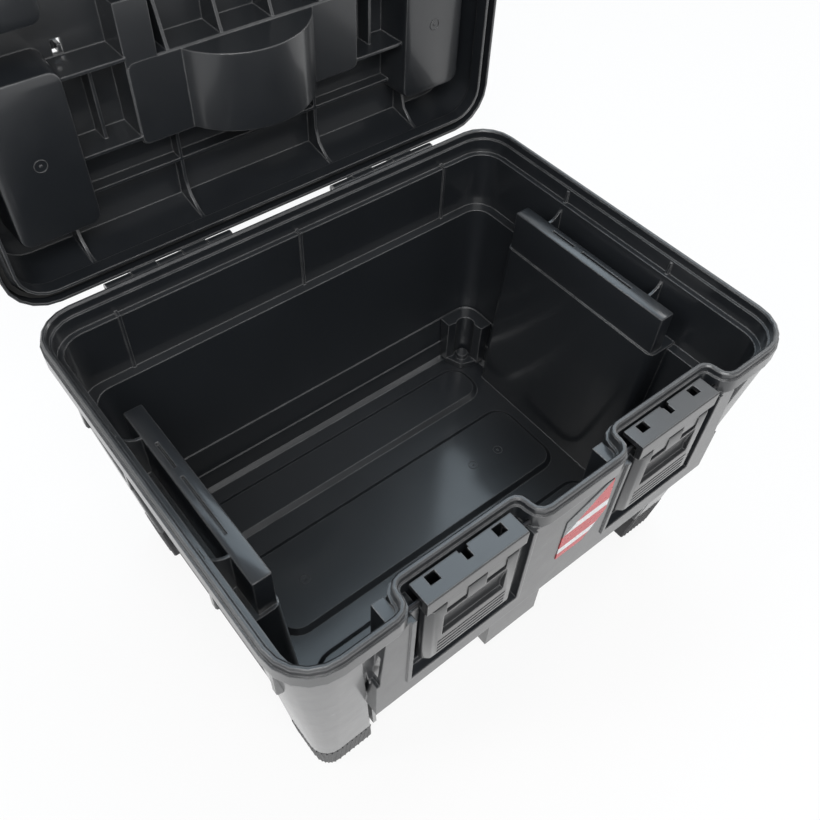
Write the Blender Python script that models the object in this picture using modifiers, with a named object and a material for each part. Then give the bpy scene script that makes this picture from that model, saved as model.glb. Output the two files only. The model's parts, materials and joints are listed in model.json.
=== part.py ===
"""Deep plastic toolbox with a hinged lid, two draw latches, a folding carry handle,
two covered trays in the lid top and four clip-on corner feet.

Sizes are in millimetres and are turned into metres when a mesh is made. The box is
drawn standing on the ground at z = 0 with its front towards -Y. The lid and all that
it carries are drawn in the closed position and then turned open about the hinge axis,
which is the resting pose.
"""
import math

import bmesh
import bpy
from mathutils import Matrix, Vector

MM = 0.001

# Rim: the crest of the tongue that runs round the top of the tub.
RIM_W = 440.0            # crest to crest, side to side
RIM_D = 335.0            # crest to crest, front to back
RIM_Z = 260.0            # height of the crest above the ground
RIM_R = 30.0             # corner radius of the crest line
TONGUE_HALF = 2.0        # half thickness of the tongue
TONGUE_H = 6.0           # tongue height above the outer shoulder
TONGUE_CHAMFER = 1.2
FLANGE_OUT = 3.5         # how far the flange stands out from the crest line
FLANGE_H = 12.0          # height of the flange face

# Latch notches in the front rim.
NOTCH_X = 92.0           # middle of each notch from the centre
NOTCH_W = 102.0          # width on the crest line
NOTCH_DEPTH = 19.5       # how far the crest line steps back
NOTCH_R_MOUTH = 9.5      # radius where the notch leaves the front line
NOTCH_R_INNER = 8.0      # radius at the back of the notch

# Walls of the tub.
BASE_Z = 9.0             # underside of the tub
FLOOR_Z = 13.0           # top of the floor
WALL_TOP_OUT = 0.8       # outer wall against the crest line, under the flange
WALL_BOTTOM_OUT = -29.5  # outer wall against the crest line, at the floor
STEP1_DROP = 8.0         # first inner step below the crest
STEP1_IN = 4.0
STEP2_DROP = 20.0        # second inner step below the crest
STEP2_IN = 9.0
LEDGE_Z = 184.0          # ledge that runs round the inside
LEDGE_IN = 18.0          # lower wall at the ledge
FLOOR_IN = 32.7          # lower wall at the floor
FRONT_LEDGE_IN = 10.5    # the front wall has almost no ledge
FRONT_FLOOR_IN = 38.0    # and leans in more, to clear the apron in front of it
FRONT_BOTTOM_OUT = -34.8 # its outside at the floor
INNER_R = 16.0           # corner radius of the lower inside
LINE_Z = (37.0, 68.0)    # two shallow steps low on the inner wall
LINE_STEP = 0.8
FLOOR_CHAMFER = 4.0
WALL_T = 3.0

# Raised floor panels: middle one and the two narrower ones beside it.
PANEL_H = 4.0
PANEL_END = 65.0         # panel ends from the crest line
PANEL_MID_IN = 128.5     # long edges of the middle panel from the crest line
PANEL_SIDE_IN = (95.5, 57.5)  # and those of the side panels
PANEL_R = 15.0
PANEL_SLOPE = 5.0

# Blocks on the inner side walls, with the grip recess behind them.
BLOCK_END_IN = 79.5      # block ends from the crest line
BLOCK_TOP_Z = 186.0
BLOCK_IN_TOP = 38.5      # inner face against the crest line, at the top
BLOCK_IN_FLOOR = 49.0    # inner face against the crest line, at the floor
BAR_TOP_DROP = 35.0      # top of the bar below the crest
BAR_IN = 36.8            # inner face of the bar against the crest line
BAR_W = 15.0
BAR_END_IN = 82.5
FIN_IN = 109.5           # fins that tie the bar to the outer wall
FIN_T = 2.4
SLIT_W = 2.0
SLIT_DEPTH = 3.0
SLITS_Y = ((21.0, 47.0), (-44.0, 12.0))
RECESS_WALL = 3.0
RECESS_Z0 = 24.0

# Outside of the tub.
COLUMN_TOP_OUT = 2.0     # corner column against the crest line, under the flange
COLUMN_SLOPE = 0.118     # how fast the columns draw in going down
COLUMN_W = 45.0          # width of a column along the front
COLUMN_D = 44.0          # width of a column along the side
COLUMN_R = (13.0, 30.0)  # corner radius at the ground and under the flange
WALL_R = (16.0, 28.0)    # corner radius of the wall at the floor and under the flange
RIB_T = 3.0
FIN_DEEP = 14.0          # upright fin beside each front column, front to back
SIDE_RIBS_Y = (118.0, 40.0, 2.0, -38.0, -70.0)
SIDE_RIB_Z0 = 188.0      # pockets between the outer ribs, from here
BACK_RIB_MID = 82.0      # ribs on the back, from the centre
BACK_RIB_END = 63.0      # and from the crest line of the side
BACK_PANEL_Z = (44.0, 178.0)
GROOVE_W = 2.4           # groove beside each front column
APRON_OUT = 1.5          # upright apron across the front, against the crest line
APRON_END = 53.5         # its ends from the crest line of the side
APRON_T = 3.0
APRON_Z0 = 136.0         # its lower edge
APRON_ROOM = 2.0         # the space behind it closes when it gets this narrow
WINDOW_Z = (181.0, 236.0)  # dark opening between apron and column
WINDOW_TOP = (160.4, 174.0)  # its width at the top, from the centre
WINDOW_LOW = (164.0, 171.0)  # and at the bottom
WINDOW_Y_IN = 6.2
FRAME_T = 3.2            # raised frame round each latch bay
FRAME_OUT = 2.8          # frame front against the crest line
BUMPER_W = 58.0          # middle bumper low on the front
BUMPER_Y_IN = 24.6       # its face against the crest line
BUMPER_TOP = 70.0

# Latch bays and latches.
BAY_BACK = 2.0           # back of the bay against the notch crest line
BAY_WALL = 4.0
BAY_Z0 = 158.0
BAY_STEP_IN = 4.0        # step beside and below the lever, against the crest line of the front
BAY_STEP_ROOM = 1.0      # lever side to step
BAY_STEP_H = 7.0         # height of the step below the lever
BAY_STEP_DROP = 6.5      # its top below the lever pivot
SIDE_GAP = 0.5           # bay side against the flange edge
BOSS_W = 9.0
BOSS_D = 10.0
BOSS_Z = (196.0, 249.0)
PIVOT_Y_IN = 5.0         # lever pivot against the crest line of the front
PIVOT_Z_DROP = 13.5      # below the crest
HOOKPIN_DY = 4.0         # hook pin in front of the lever pivot
HOOKPIN_DZ = 15.5        # and below it
PIN_R = 1.75
HOOKPIN_R = 1.5
RUN = 0.06               # running clearance on a pin
GAP = 0.3                # clearance between separate pieces
PLATE_W = 80.0           # hook plate
PLATE_T = 2.7
PLATE_TOP_DROP = 6.5
PLATE_FRONT = 3.5        # front of the hook against the crest line
PLATE_BACK_GAP = 1.8     # plate edge against the notch shoulder
BAND_H = 13.5
BAND_T = 2.7
HOLE_SIDE = 8.0          # square holes in the plate
HOLE_X = 26.5
SLOT_W = 5.0
SLOT_D = 6.5
CATCH_W = 6.0            # catch tab on the lid
CATCH_T = 1.9
CATCH_NIB = 1.5
CATCH_NIB_Z = (13.3, 10.4)  # nib below the crest, bottom and top
CATCH_SIDE_GAP = 0.8
EYE_HOOK = (8.0, 24.0)   # hook knuckles from the latch middle
EYE_R = 4.4              # knuckle round the hook pin
EYE_CLEAR = 0.4
CHEEK_T = 2.4            # end cheeks of the hook
CHEEK_H = 4.3            # height of a cheek behind the pivot pin
CHEEK_FRONT = 4.8        # depth of its deeper front part
ARM_X = (25.5, 33.5)     # lever arms from the latch middle
ARM_R = 3.5
LEVER_FACE_W = 68.0
LEVER_BACK_W = 78.0
LEVER_TOP_UP = 6.5       # lever top above the hook pin
LEVER_H = 64.0
LEVER_FACE_TOP = 4.0     # face against the crest line at the top
LEVER_FACE_BOTTOM = 4.6  # and at the bottom
LEVER_BACK_IN = 7.5
RECESS_W = 52.0
RECESS_DROP = (12.5, 38.5)
RECESS_DEEP = 3.6
GRIP_GROOVE_COUNT = 4
GRIP_PITCH = 4.6
GRIP_UP = 4.5            # lowest groove above the lever's end
GRIP_SLOT = 2.2
GRIP_DEPTH = 2.0

# Feet.
FOOT_H = 40.0
FOOT_ANCHOR_IN = 18.0    # anchor stem from the inner walls
ANCHOR_CHANNEL_R = 9.2   # half-round channel down the front of the block
ANCHOR_STEM_R = 4.0
ANCHOR_BOSS_R = 6.0
ANCHOR_BOSS_H = 6.0
ANCHOR_TOP_Z = 69.0
ANCHOR_ARM = 37.0
ANCHOR_ARM_W = 13.0
ANCHOR_BASE_T = 2.5      # base plate above the floor's chamfer
ANCHOR_TIP = 9.0         # its tip in front of the stem
ANCHOR_STEM_Z = 2.5

# Hinge along the back.
HINGE_OUT = 9.0          # hinge axis behind the crest line
HINGE_DROP = 9.0         # and below the crest
KNUCKLE_R = 5.2
HINGE_PIN_R = 2.0
HINGE_X0 = 50.0          # each hinge runs from here
HINGE_END = 62.0         # to this far from the crest line of the side
KNUCKLE_COUNT = 5
KNUCKLE_GAP = 0.5
HINGE_ARM_UP = 11.0      # lid arm above the hinge axis
STOP_H = 6.0             # shelf that the open lid leans on
STOP_REACH = 18.5

# Lid.
LID_SKIRT_OUT = 4.5      # skirt against the crest line
LID_SKIRT_H = 12.0
LID_GAP = 0.3            # lid skirt above the tub shoulder
LID_TOP_Z = 304.3
LID_PLATE_T = 3.0
LID_TOP_OUT = -8.0
LID_SHOULDER_OUT = 1.0
GROOVE_OUT = 2.5         # groove for the tongue, outer side
GROOVE_IN = 4.8          # and inner side, wide enough for the lid to swing
GROOVE_TOP_UP = 3.5      # groove roof above the crest
LIP_T = 2.2              # inner lip
LID_INNER_OUT = -2.6     # inner wall above the lip
LID_INNER_TOP = -9.0     # inner wall under the top plate
SEAL_HALF = 1.8
SEAL_T = 2.6
POCKET_IN = (20.0, 81.0)  # tray blocks from the crest line of the side
POCKET_Y = (14.0, 132.0)
POCKET_Z = 268.8         # underside of the pocket blocks
POCKET_R = 8.0
POCKET_EDGE = 2.2        # rounding of the lower edges
POCKET_DRAFT = 0.6       # sides lean by this each way
BLOCK_SKIN = 2.5
WELL_X = 95.0
WELL_Y = (28.0, 90.0)
WELL_Z = 274.8
WELL_EDGE = 1.0
WELL_WEB_X = (21.0, 63.0)  # webs in front of the well, from the centre
WELL_WEB = ((0.0, 1.2), (8.0, 4.2), (24.0, 9.2), (42.0, 16.2), (58.0, 26.0))  # reach, height above the well
SCOOP_X = 54.0
SCOOP_DEEP = 33.0
PIVOT_BOX_X = 71.5
PIVOT_BOX_Y0 = -12.0
LID_RIB_T = 2.5
LID_RIB_Y = (24.5, 83.0)
LID_RIB_Z = 274.3
LID_LOW_RIB_Y = 122.0
LID_LOW_RIB_Z = 290.8
LID_LONG_RIB_X0 = 62.0
LID_LONG_RIB_IN = 65.0   # outer long rib from the crest line of the side
LID_MID_RIB_IN = 104.0
LID_HOLE_IN = (89.0, 96.0)
LID_HOLE_Y = (12.0, 22.0)

# Handle in the lid top.
HANDLE_AXIS_Z = 293.8
HANDLE_ARM_X = (76.5, 90.0)
HANDLE_ARM_H = 14.0
HANDLE_REACH = 60.0
GRIP_D = 24.0
GRIP_H = 17.0
HANDLE_PIN_R = 3.0
HANDLE_PIN_X = (71.0, 94.2)

# Covers on the lid top.
COVER_IN = (21.0, 87.0)  # long edges from the crest line of the side
COVER_Y = 136.0
COVER_T = 2.4
COVER_R = 8.0
COVER_AXIS_IN = 16.4
COVER_BARREL_L = 12.0
COVER_BARREL_GAP = 0.5   # barrel to the cover's knuckle
COVER_BARREL_R = 3.0
COVER_PIN_R = 1.2
COVER_BARREL_Y = (30.0, 104.0)
COVER_TAB_IN = (86.0, 94.5)
COVER_TAB_DOWN = 7.0

# Label on the front apron, as an outline in (x, z).
LABEL = ((-9.5, 172.0), (17.0, 172.0), (35.0, 196.0), (32.0, 235.0), (26.0, 235.0), (-9.0, 219.0))
LABEL_T = 0.6
LABEL_GAP = 0.1

ARC_STEPS = 3            # steps in a small fillet
ARC_BIG_STEPS = 5        # steps in a large fillet
ROUND_SIDES = 16         # sides of a pin or tube

# Values that follow from the ones above.
HX = RIM_W / 2
HY = RIM_D / 2
PANEL_X = HX - PANEL_END
PANEL_MID_Y = HY - PANEL_MID_IN
BLOCK_Y = HY - BLOCK_END_IN
BAR_END_Y = HY - BAR_END_IN
FIN_Y = HY - FIN_IN
PANEL_SIDE_Y = (HY - PANEL_SIDE_IN[0], HY - PANEL_SIDE_IN[1])
BACK_RIBS_X = (BACK_RIB_END - HX, -BACK_RIB_MID, 0.0, BACK_RIB_MID, HX - BACK_RIB_END)
HINGE_X1 = HX - HINGE_END
POCKET_X = (HX - POCKET_IN[1], HX - POCKET_IN[0])
LID_LONG_RIB_X = (LID_LONG_RIB_X0, HX - LID_LONG_RIB_IN)
LID_MID_RIB_X = HX - LID_MID_RIB_IN
LID_HOLE_X = (HX - LID_HOLE_IN[1], HX - LID_HOLE_IN[0])
COVER_X = (HX - COVER_IN[1], HX - COVER_IN[0])
COVER_AXIS_X = HX - COVER_AXIS_IN
COVER_TAB_X = (HX - COVER_TAB_IN[1], HX - COVER_TAB_IN[0])
APRON_X = HX - APRON_END
APRON_Y = -HY - APRON_OUT
SHOULDER_Z = RIM_Z - TONGUE_H
FLANGE_Z0 = SHOULDER_Z - FLANGE_H
WALL_SLOPE = (WALL_TOP_OUT - WALL_BOTTOM_OUT) / (FLANGE_Z0 - FLOOR_Z)
FRONT_SLOPE = (WALL_TOP_OUT - FRONT_BOTTOM_OUT) / (FLANGE_Z0 - FLOOR_Z)
NOTCH_Y = -HY + NOTCH_DEPTH
BAY_Y = NOTCH_Y - BAY_BACK
BAY_HALF = NOTCH_W / 2 - FLANGE_OUT - SIDE_GAP
BAY_STEP_HALF = LEVER_BACK_W / 2 + BAY_STEP_ROOM
PIVOT_Y = -HY + PIVOT_Y_IN
PIVOT_Z = RIM_Z - PIVOT_Z_DROP
BAY_STEP_TOP = PIVOT_Z - BAY_STEP_DROP
HOOKPIN_Y = PIVOT_Y - HOOKPIN_DY
HOOKPIN_Z = PIVOT_Z - HOOKPIN_DZ
PLATE_TOP = RIM_Z - PLATE_TOP_DROP
PLATE_Y0 = -HY - PLATE_FRONT
PLATE_Y1 = NOTCH_Y - FLANGE_OUT - PLATE_BACK_GAP
CATCH_Y1 = NOTCH_Y - FLANGE_OUT - 0.4
CATCH_Y0 = CATCH_Y1 - CATCH_T
CATCH_NOTCH_Y = CATCH_Y0 - CATCH_NIB - 0.5
HINGE_Y = HY + HINGE_OUT
HINGE_Z = RIM_Z - HINGE_DROP
LID_Z0 = SHOULDER_Z + LID_GAP
LID_PLATE_Z = LID_TOP_Z - LID_PLATE_T
BAR_TOP_Z = RIM_Z - BAR_TOP_DROP
SIDE_RIB_Z1 = RIM_Z - STEP2_DROP - 1.0 - WALL_T
COVER_Z0 = LID_TOP_Z + GAP
COVER_AXIS_Z = LID_TOP_Z + GAP + COVER_BARREL_R


def wall_out(z):
    """Outer wall against the crest line at a height."""
    return WALL_TOP_OUT - WALL_SLOPE * (FLANGE_Z0 - z)


def front_out(z):
    """Outer front wall against the crest line at a height."""
    return WALL_TOP_OUT - FRONT_SLOPE * (FLANGE_Z0 - z)


def column_out(z):
    """Corner column against the crest line at a height."""
    return COLUMN_TOP_OUT - COLUMN_SLOPE * (FLANGE_Z0 - z)


def lower_in(z, top_in=LEDGE_IN, floor_in=FLOOR_IN):
    """Lower inner wall, counted inwards from the crest line, at a height."""
    return floor_in + (top_in - floor_in) * (z - FLOOR_Z) / (LEDGE_Z - FLOOR_Z)


def front_in(z):
    """The same for the front wall."""
    return lower_in(z, FRONT_LEDGE_IN, FRONT_FLOOR_IN)


def block_in(z):
    """Inner face of the side block, counted inwards from the crest line."""
    return BLOCK_IN_FLOOR + (BLOCK_IN_TOP - BLOCK_IN_FLOOR) * (z - FLOOR_Z) / (BLOCK_TOP_Z - FLOOR_Z)


# Scene set-up.
for old in list(bpy.data.objects):
    bpy.data.objects.remove(old, do_unlink=True)

toolbox = bpy.data.collections.new("Toolbox")
bpy.context.scene.collection.children.link(toolbox)


def material(name, colour, roughness, metallic=0.0):
    mat = bpy.data.materials.new(name)
    mat.use_nodes = True
    shader = mat.node_tree.nodes["Principled BSDF"]
    shader.inputs["Base Color"].default_value = (*colour, 1.0)
    shader.inputs["Roughness"].default_value = roughness
    shader.inputs["Metallic"].default_value = metallic
    return mat


def mesh_object(name, bm):
    """Turn a bmesh drawn in millimetres into an object in metres."""
    bmesh.ops.recalc_face_normals(bm, faces=bm.faces[:])
    bmesh.ops.scale(bm, vec=(MM, MM, MM), verts=bm.verts[:])
    mesh = bpy.data.meshes.new(name)
    bm.to_mesh(mesh)
    bm.free()
    obj = bpy.data.objects.new(name, mesh)
    bpy.context.scene.collection.objects.link(obj)
    return obj


def box(x0, x1, y0, y1, z0, z1, name="block"):
    bm = bmesh.new()
    bmesh.ops.create_cube(bm, size=1.0)
    bmesh.ops.scale(bm, vec=(x1 - x0, y1 - y0, z1 - z0), verts=bm.verts[:])
    bmesh.ops.translate(bm, vec=((x0 + x1) / 2, (y0 + y1) / 2, (z0 + z1) / 2), verts=bm.verts[:])
    return mesh_object(name, bm)


def rod(axis, start, end, a, b, radius, sides=ROUND_SIDES, name="rod"):
    """Cylinder along X, Y or Z; a and b are its other two coordinates in order."""
    bm = bmesh.new()
    bmesh.ops.create_cone(bm, cap_ends=True, segments=sides, radius1=radius, radius2=radius,
                          depth=end - start)
    middle = (start + end) / 2
    turn = {"X": Matrix.Rotation(math.pi / 2, 3, "Y"), "Y": Matrix.Rotation(math.pi / 2, 3, "X"),
            "Z": Matrix.Identity(3)}[axis]
    place = {"X": (middle, a, b), "Y": (a, middle, b), "Z": (a, b, middle)}[axis]
    bmesh.ops.rotate(bm, cent=(0, 0, 0), matrix=turn, verts=bm.verts[:])
    bmesh.ops.translate(bm, vec=place, verts=bm.verts[:])
    return mesh_object(name, bm)


def hole(axis, start, end, a, b, pin_radius, sides=ROUND_SIDES):
    """Cutter for a bore whose flats clear the pin by the running clearance."""
    return rod(axis, start, end, a, b, (pin_radius + RUN) / math.cos(math.pi / sides), sides)


def loft(levels, name="loft", place=None):
    """Closed solid through stacked outlines with equal point counts.

    Each level is (points, height). place maps (a, b, height) to x, y, z.
    """
    place = place or (lambda a, b, c: (a, b, c))
    bm = bmesh.new()
    rings = [[bm.verts.new(place(a, b, height)) for a, b in points] for points, height in levels]
    count = len(rings[0])
    for low, high in zip(rings, rings[1:]):
        for i in range(count):
            j = (i + 1) % count
            bm.faces.new((low[i], low[j], high[j], high[i]))
    bm.faces.new(list(reversed(rings[0])))
    bm.faces.new(rings[-1])
    return mesh_object(name, bm)


def prism_x(points, x0, x1, name="prism"):
    """Outline in (y, z) drawn out along X."""
    return loft([(points, x0), (points, x1)], name, lambda a, b, c: (c, a, b))


def prism_y(points, y0, y1, name="prism"):
    """Outline in (x, z) drawn out along Y."""
    return loft([(points, y0), (points, y1)], name, lambda a, b, c: (a, c, b))


def prism_z(points, z0, z1, name="prism"):
    return loft([(points, z0), (points, z1)], name)


def fillet(corners):
    """Round the corners of an outline; each corner is (x, y, radius, steps)."""
    out = []
    count = len(corners)
    for i, (x, y, radius, steps) in enumerate(corners):
        here = Vector((x, y))
        back = (Vector(corners[i - 1][:2]) - here).normalized()
        ahead = (Vector(corners[(i + 1) % count][:2]) - here).normalized()
        if radius < 0.05 or steps == 0:
            out.append((x, y))
            continue
        half = math.acos(max(-1.0, min(1.0, back.dot(ahead)))) / 2
        reach = radius / math.tan(half)
        centre = here + (back + ahead).normalized() * (radius / math.sin(half))
        first = here + back * reach - centre
        last = here + ahead * reach - centre
        sweep = math.atan2(first.x * last.y - first.y * last.x, first.dot(last))
        for k in range(steps + 1):
            turn = sweep * k / steps
            out.append((centre.x + first.x * math.cos(turn) - first.y * math.sin(turn),
                        centre.y + first.x * math.sin(turn) + first.y * math.cos(turn)))
    return out


def arc(cy, cz, radius, start, end, steps):
    out = []
    for k in range(steps + 1):
        turn = math.radians(start + (end - start) * k / steps)
        out.append((cy + radius * math.cos(turn), cz + radius * math.sin(turn)))
    return out


def rounded(x0, x1, y0, y1, radius, steps=ARC_BIG_STEPS):
    corners = [(x0, y0), (x1, y0), (x1, y1), (x0, y1)]
    return fillet([(x, y, radius, steps) for x, y in corners])


def plain_box(x0, x1, y0, y1):
    return [(x0, y0), (x1, y0), (x1, y1), (x0, y1)]


def plain_outline(out, radius=None, front=None, steps=ARC_BIG_STEPS):
    """Rounded rectangle at an offset from the crest line; front may differ."""
    radius = RIM_R + out if radius is None else radius
    front = out if front is None else front
    return rounded(-HX - out, HX + out, -HY - front, HY + out, radius, steps)


def rim_outline(out):
    """Crest line with its two latch notches, moved outwards by an offset."""
    corner = max(RIM_R + out, 0.5)
    mouth = max(NOTCH_R_MOUTH + out, 0.3)
    inner = max(NOTCH_R_INNER - out, 0.3)
    x, y, back = HX + out, HY + out, NOTCH_Y - out
    half = NOTCH_W / 2 - out
    points = [(-x, -y, corner, ARC_BIG_STEPS)]
    for middle in (-NOTCH_X, NOTCH_X):
        points += [(middle - half, -y, mouth, ARC_STEPS), (middle - half, back, inner, ARC_STEPS),
                   (middle + half, back, inner, ARC_STEPS), (middle + half, -y, mouth, ARC_STEPS)]
    points += [(x, -y, corner, ARC_BIG_STEPS), (x, y, corner, ARC_BIG_STEPS), (-x, y, corner, ARC_BIG_STEPS)]
    return fillet(points)


def combine(target, others, operation):
    """Boolean the others into the target, one after another, and drop them."""
    for other in others:
        mod = target.modifiers.new("Boolean", "BOOLEAN")
        mod.operation = operation
        mod.solver = "EXACT"
        mod.object = other
        graph = bpy.context.evaluated_depsgraph_get()
        mesh = bpy.data.meshes.new_from_object(target.evaluated_get(graph))
        target.modifiers.clear()
        target.data = mesh
        bpy.data.objects.remove(other, do_unlink=True)
    return target


def cut(target, *others):
    return combine(target, others, "DIFFERENCE")


def join(target, *others):
    return combine(target, others, "UNION")


def bevel(obj, width, segments=1, angle=40.0):
    """Round the sharp edges of a solid."""
    mod = obj.modifiers.new("Bevel", "BEVEL")
    mod.width = width * MM
    mod.segments = segments
    mod.limit_method = "ANGLE"
    mod.angle_limit = math.radians(angle)
    mod.use_clamp_overlap = True
    graph = bpy.context.evaluated_depsgraph_get()
    mesh = bpy.data.meshes.new_from_object(obj.evaluated_get(graph))
    obj.modifiers.clear()
    obj.data = mesh
    return obj


def clean(mesh):
    """Merge stray points and dissolve needle faces that Booleans leave."""
    bm = bmesh.new()
    bm.from_mesh(mesh)
    bmesh.ops.remove_doubles(bm, verts=bm.verts[:], dist=0.00002)
    bmesh.ops.dissolve_degenerate(bm, dist=0.00002, edges=bm.edges[:])
    bmesh.ops.recalc_face_normals(bm, faces=bm.faces[:])
    bm.to_mesh(mesh)
    bm.free()


# All pieces hang on one empty that puts the middle of the open box's footprint at y = 0.
FOOTPRINT_FRONT = -HY - LEVER_FACE_BOTTOM
FOOTPRINT_BACK = HINGE_Y + COVER_AXIS_Z + COVER_BARREL_R - HINGE_Z
base_frame = bpy.data.objects.new("toolbox_base", None)
base_frame.location = (0.0, -(FOOTPRINT_FRONT + FOOTPRINT_BACK) / 2 * MM, 0.0)
toolbox.objects.link(base_frame)

# The lid's empty sits on the hinge axis, turned to the open position.
lid_frame = bpy.data.objects.new("lid_hinge_axis", None)
lid_frame.parent = base_frame
lid_frame.location = (0.0, HINGE_Y * MM, HINGE_Z * MM)
lid_frame.rotation_euler = (math.radians(-90.0), 0.0, 0.0)
toolbox.objects.link(lid_frame)


def finish(obj, name, mat, origin=(0.0, 0.0, 0.0), on_lid=False):
    """Name a finished piece, give it its material and set its origin."""
    clean(obj.data)
    obj.name = name
    obj.data.name = name
    obj.data.materials.clear()
    obj.data.materials.append(mat)
    for owner in list(obj.users_collection):
        owner.objects.unlink(obj)
    toolbox.objects.link(obj)
    centre = Vector(origin) * MM
    obj.data.transform(Matrix.Translation(-centre))
    obj.location = centre
    obj.parent = base_frame
    if on_lid:
        obj.parent = lid_frame
        obj.location = centre - Vector((0.0, HINGE_Y, HINGE_Z)) * MM
    return obj


BLACK = material("black_plastic", (0.018, 0.019, 0.021), 0.42)
LATCH_BLACK = material("latch_plastic", (0.030, 0.031, 0.034), 0.38)
FOOT_BLACK = material("foot_plastic", (0.022, 0.022, 0.024), 0.55)
RUBBER = material("seal_rubber", (0.012, 0.012, 0.012), 0.8)
STEEL = material("pin_steel", (0.55, 0.55, 0.56), 0.3, 1.0)
BLACK_STEEL = material("blackened_pin", (0.03, 0.03, 0.032), 0.4, 1.0)
LABEL_MAT = material("label_film", (0.75, 0.76, 0.78), 0.3)


# Tub.
def wall_level(z, grow=0.0, inset=0.0):
    share = (z - BASE_Z) / (FLANGE_Z0 - BASE_Z)
    radius = WALL_R[0] + (WALL_R[1] - WALL_R[0]) * share
    return plain_outline(wall_out(z) + grow - inset, radius, front_out(z) + grow - inset), z


def column_level(z, sx, sy):
    share = z / FLANGE_Z0
    radius = COLUMN_R[0] + (COLUMN_R[1] - COLUMN_R[0]) * share
    x, y = HX + column_out(z), HY + column_out(z)
    corner = [(x - COLUMN_W, y, 1.0, 1), (x - COLUMN_W, y - COLUMN_D, 1.0, 1), (x, y - COLUMN_D, 1.0, 1),
              (x, y, radius, ARC_BIG_STEPS)]
    return [(sx * a, sy * b) for a, b in fillet(corner)], z


def low_level(z, extra=0.0):
    return plain_outline(-lower_in(z) - extra, INNER_R, -front_in(z) - extra), z


def side_x(sx, inner, outer):
    """Sorted pair of x values, counted inwards from the crest line of one side."""
    a, b = sx * (HX - inner), sx * (HX - outer)
    return min(a, b), max(a, b)


tub = loft([wall_level(BASE_Z, inset=FLOOR_CHAMFER), wall_level(BASE_Z + FLOOR_CHAMFER),
            wall_level(FLANGE_Z0 + 0.6)])
for sx in (-1, 1):
    for sy in (-1, 1):
        join(tub, loft([column_level(FOOT_H, sx, sy), column_level(FLANGE_Z0 + 3.0, sx, sy)]))
    rib_levels = []
    for z in (FOOT_H, FLANGE_Z0 + 3.0):
        x = HX + column_out(z) - COLUMN_W - GROOVE_W
        y = -HY - column_out(z)
        strip = plain_box(x - RIB_T, x, y, y + FIN_DEEP)
        rib_levels.append(([(sx * a, b) for a, b in strip], z))
    join(tub, loft(rib_levels))

# The apron is a plate with end webs; the space behind it is open below.
apron = box(-APRON_X, APRON_X, APRON_Y, -HY + front_in(APRON_Z0) - 1.0, APRON_Z0, FLANGE_Z0 + 0.6)
room_top = FLANGE_Z0 - (WALL_TOP_OUT - APRON_OUT + APRON_T + APRON_ROOM) / FRONT_SLOPE
room = []
for z in (APRON_Z0 - 1.0, room_top):
    y0, y1 = APRON_Y + APRON_T, -HY - front_out(z) + 1.0
    room.append((plain_box(-APRON_X + APRON_T, APRON_X - APRON_T, y0, y1), z))
cut(apron, loft(room))
join(tub, apron)
for xc in (-NOTCH_X, NOTCH_X):
    join(tub, box(xc - BAY_HALF - FRAME_T, xc + BAY_HALF + FRAME_T, -HY - FRAME_OUT, BAY_Y + 2.0,
                  BAY_Z0 - FRAME_T, FLANGE_Z0 + 0.6))
join(tub, box(-BUMPER_W / 2, BUMPER_W / 2, -HY + BUMPER_Y_IN, -HY + FRONT_FLOOR_IN - 1.0, BASE_Z + 0.5,
              BUMPER_TOP))
join(tub, loft([(rim_outline(FLANGE_OUT), FLANGE_Z0), (rim_outline(FLANGE_OUT), SHOULDER_Z),
                (rim_outline(TONGUE_HALF), SHOULDER_Z), (rim_outline(TONGUE_HALF), RIM_Z - TONGUE_CHAMFER),
                (rim_outline(TONGUE_HALF - TONGUE_CHAMFER), RIM_Z)]))
for xc in (-NOTCH_X, NOTCH_X):
    bay = box(xc - BAY_HALF, xc + BAY_HALF, -HY - 40.0, -HY + BAY_STEP_IN, BAY_Z0, BAY_STEP_TOP + 1.0)
    join(bay, box(xc - BAY_STEP_HALF, xc + BAY_STEP_HALF, -HY - 30.0, BAY_Y - 0.02, BAY_Z0 + BAY_STEP_H,
                  BAY_STEP_TOP + 2.0))
    join(bay, box(xc - BAY_HALF + 0.02, xc + BAY_HALF - 0.02, -HY - 35.0, BAY_Y, BAY_STEP_TOP,
                  FLANGE_Z0 + 1.0))
    cut(tub, bay)

# The inside is one cutter, from which everything that stands inside is taken away first.
cavity = loft([low_level(FLOOR_Z, FLOOR_CHAMFER + 2 * LINE_STEP),
               low_level(FLOOR_Z + FLOOR_CHAMFER, 2 * LINE_STEP),
               low_level(LINE_Z[0] - 0.4, 2 * LINE_STEP), low_level(LINE_Z[0] + 0.4, LINE_STEP),
               low_level(LINE_Z[1] - 0.4, LINE_STEP), low_level(LINE_Z[1] + 0.4), low_level(LEDGE_Z + 0.5)])
upper = plain_outline(-STEP2_IN)
join(cavity, prism_z(upper, LEDGE_Z, RIM_Z - STEP2_DROP))
inner_rim = rim_outline(-TONGUE_HALF + TONGUE_CHAMFER)
join(cavity, loft([(rim_outline(-STEP1_IN), RIM_Z - STEP2_DROP - 1.0),
                   (rim_outline(-STEP1_IN), RIM_Z - STEP1_DROP),
                   (rim_outline(-TONGUE_HALF), RIM_Z - STEP1_DROP),
                   (rim_outline(-TONGUE_HALF), RIM_Z - TONGUE_CHAMFER), (inner_rim, RIM_Z),
                   (inner_rim, RIM_Z + 5.0)]))
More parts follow.
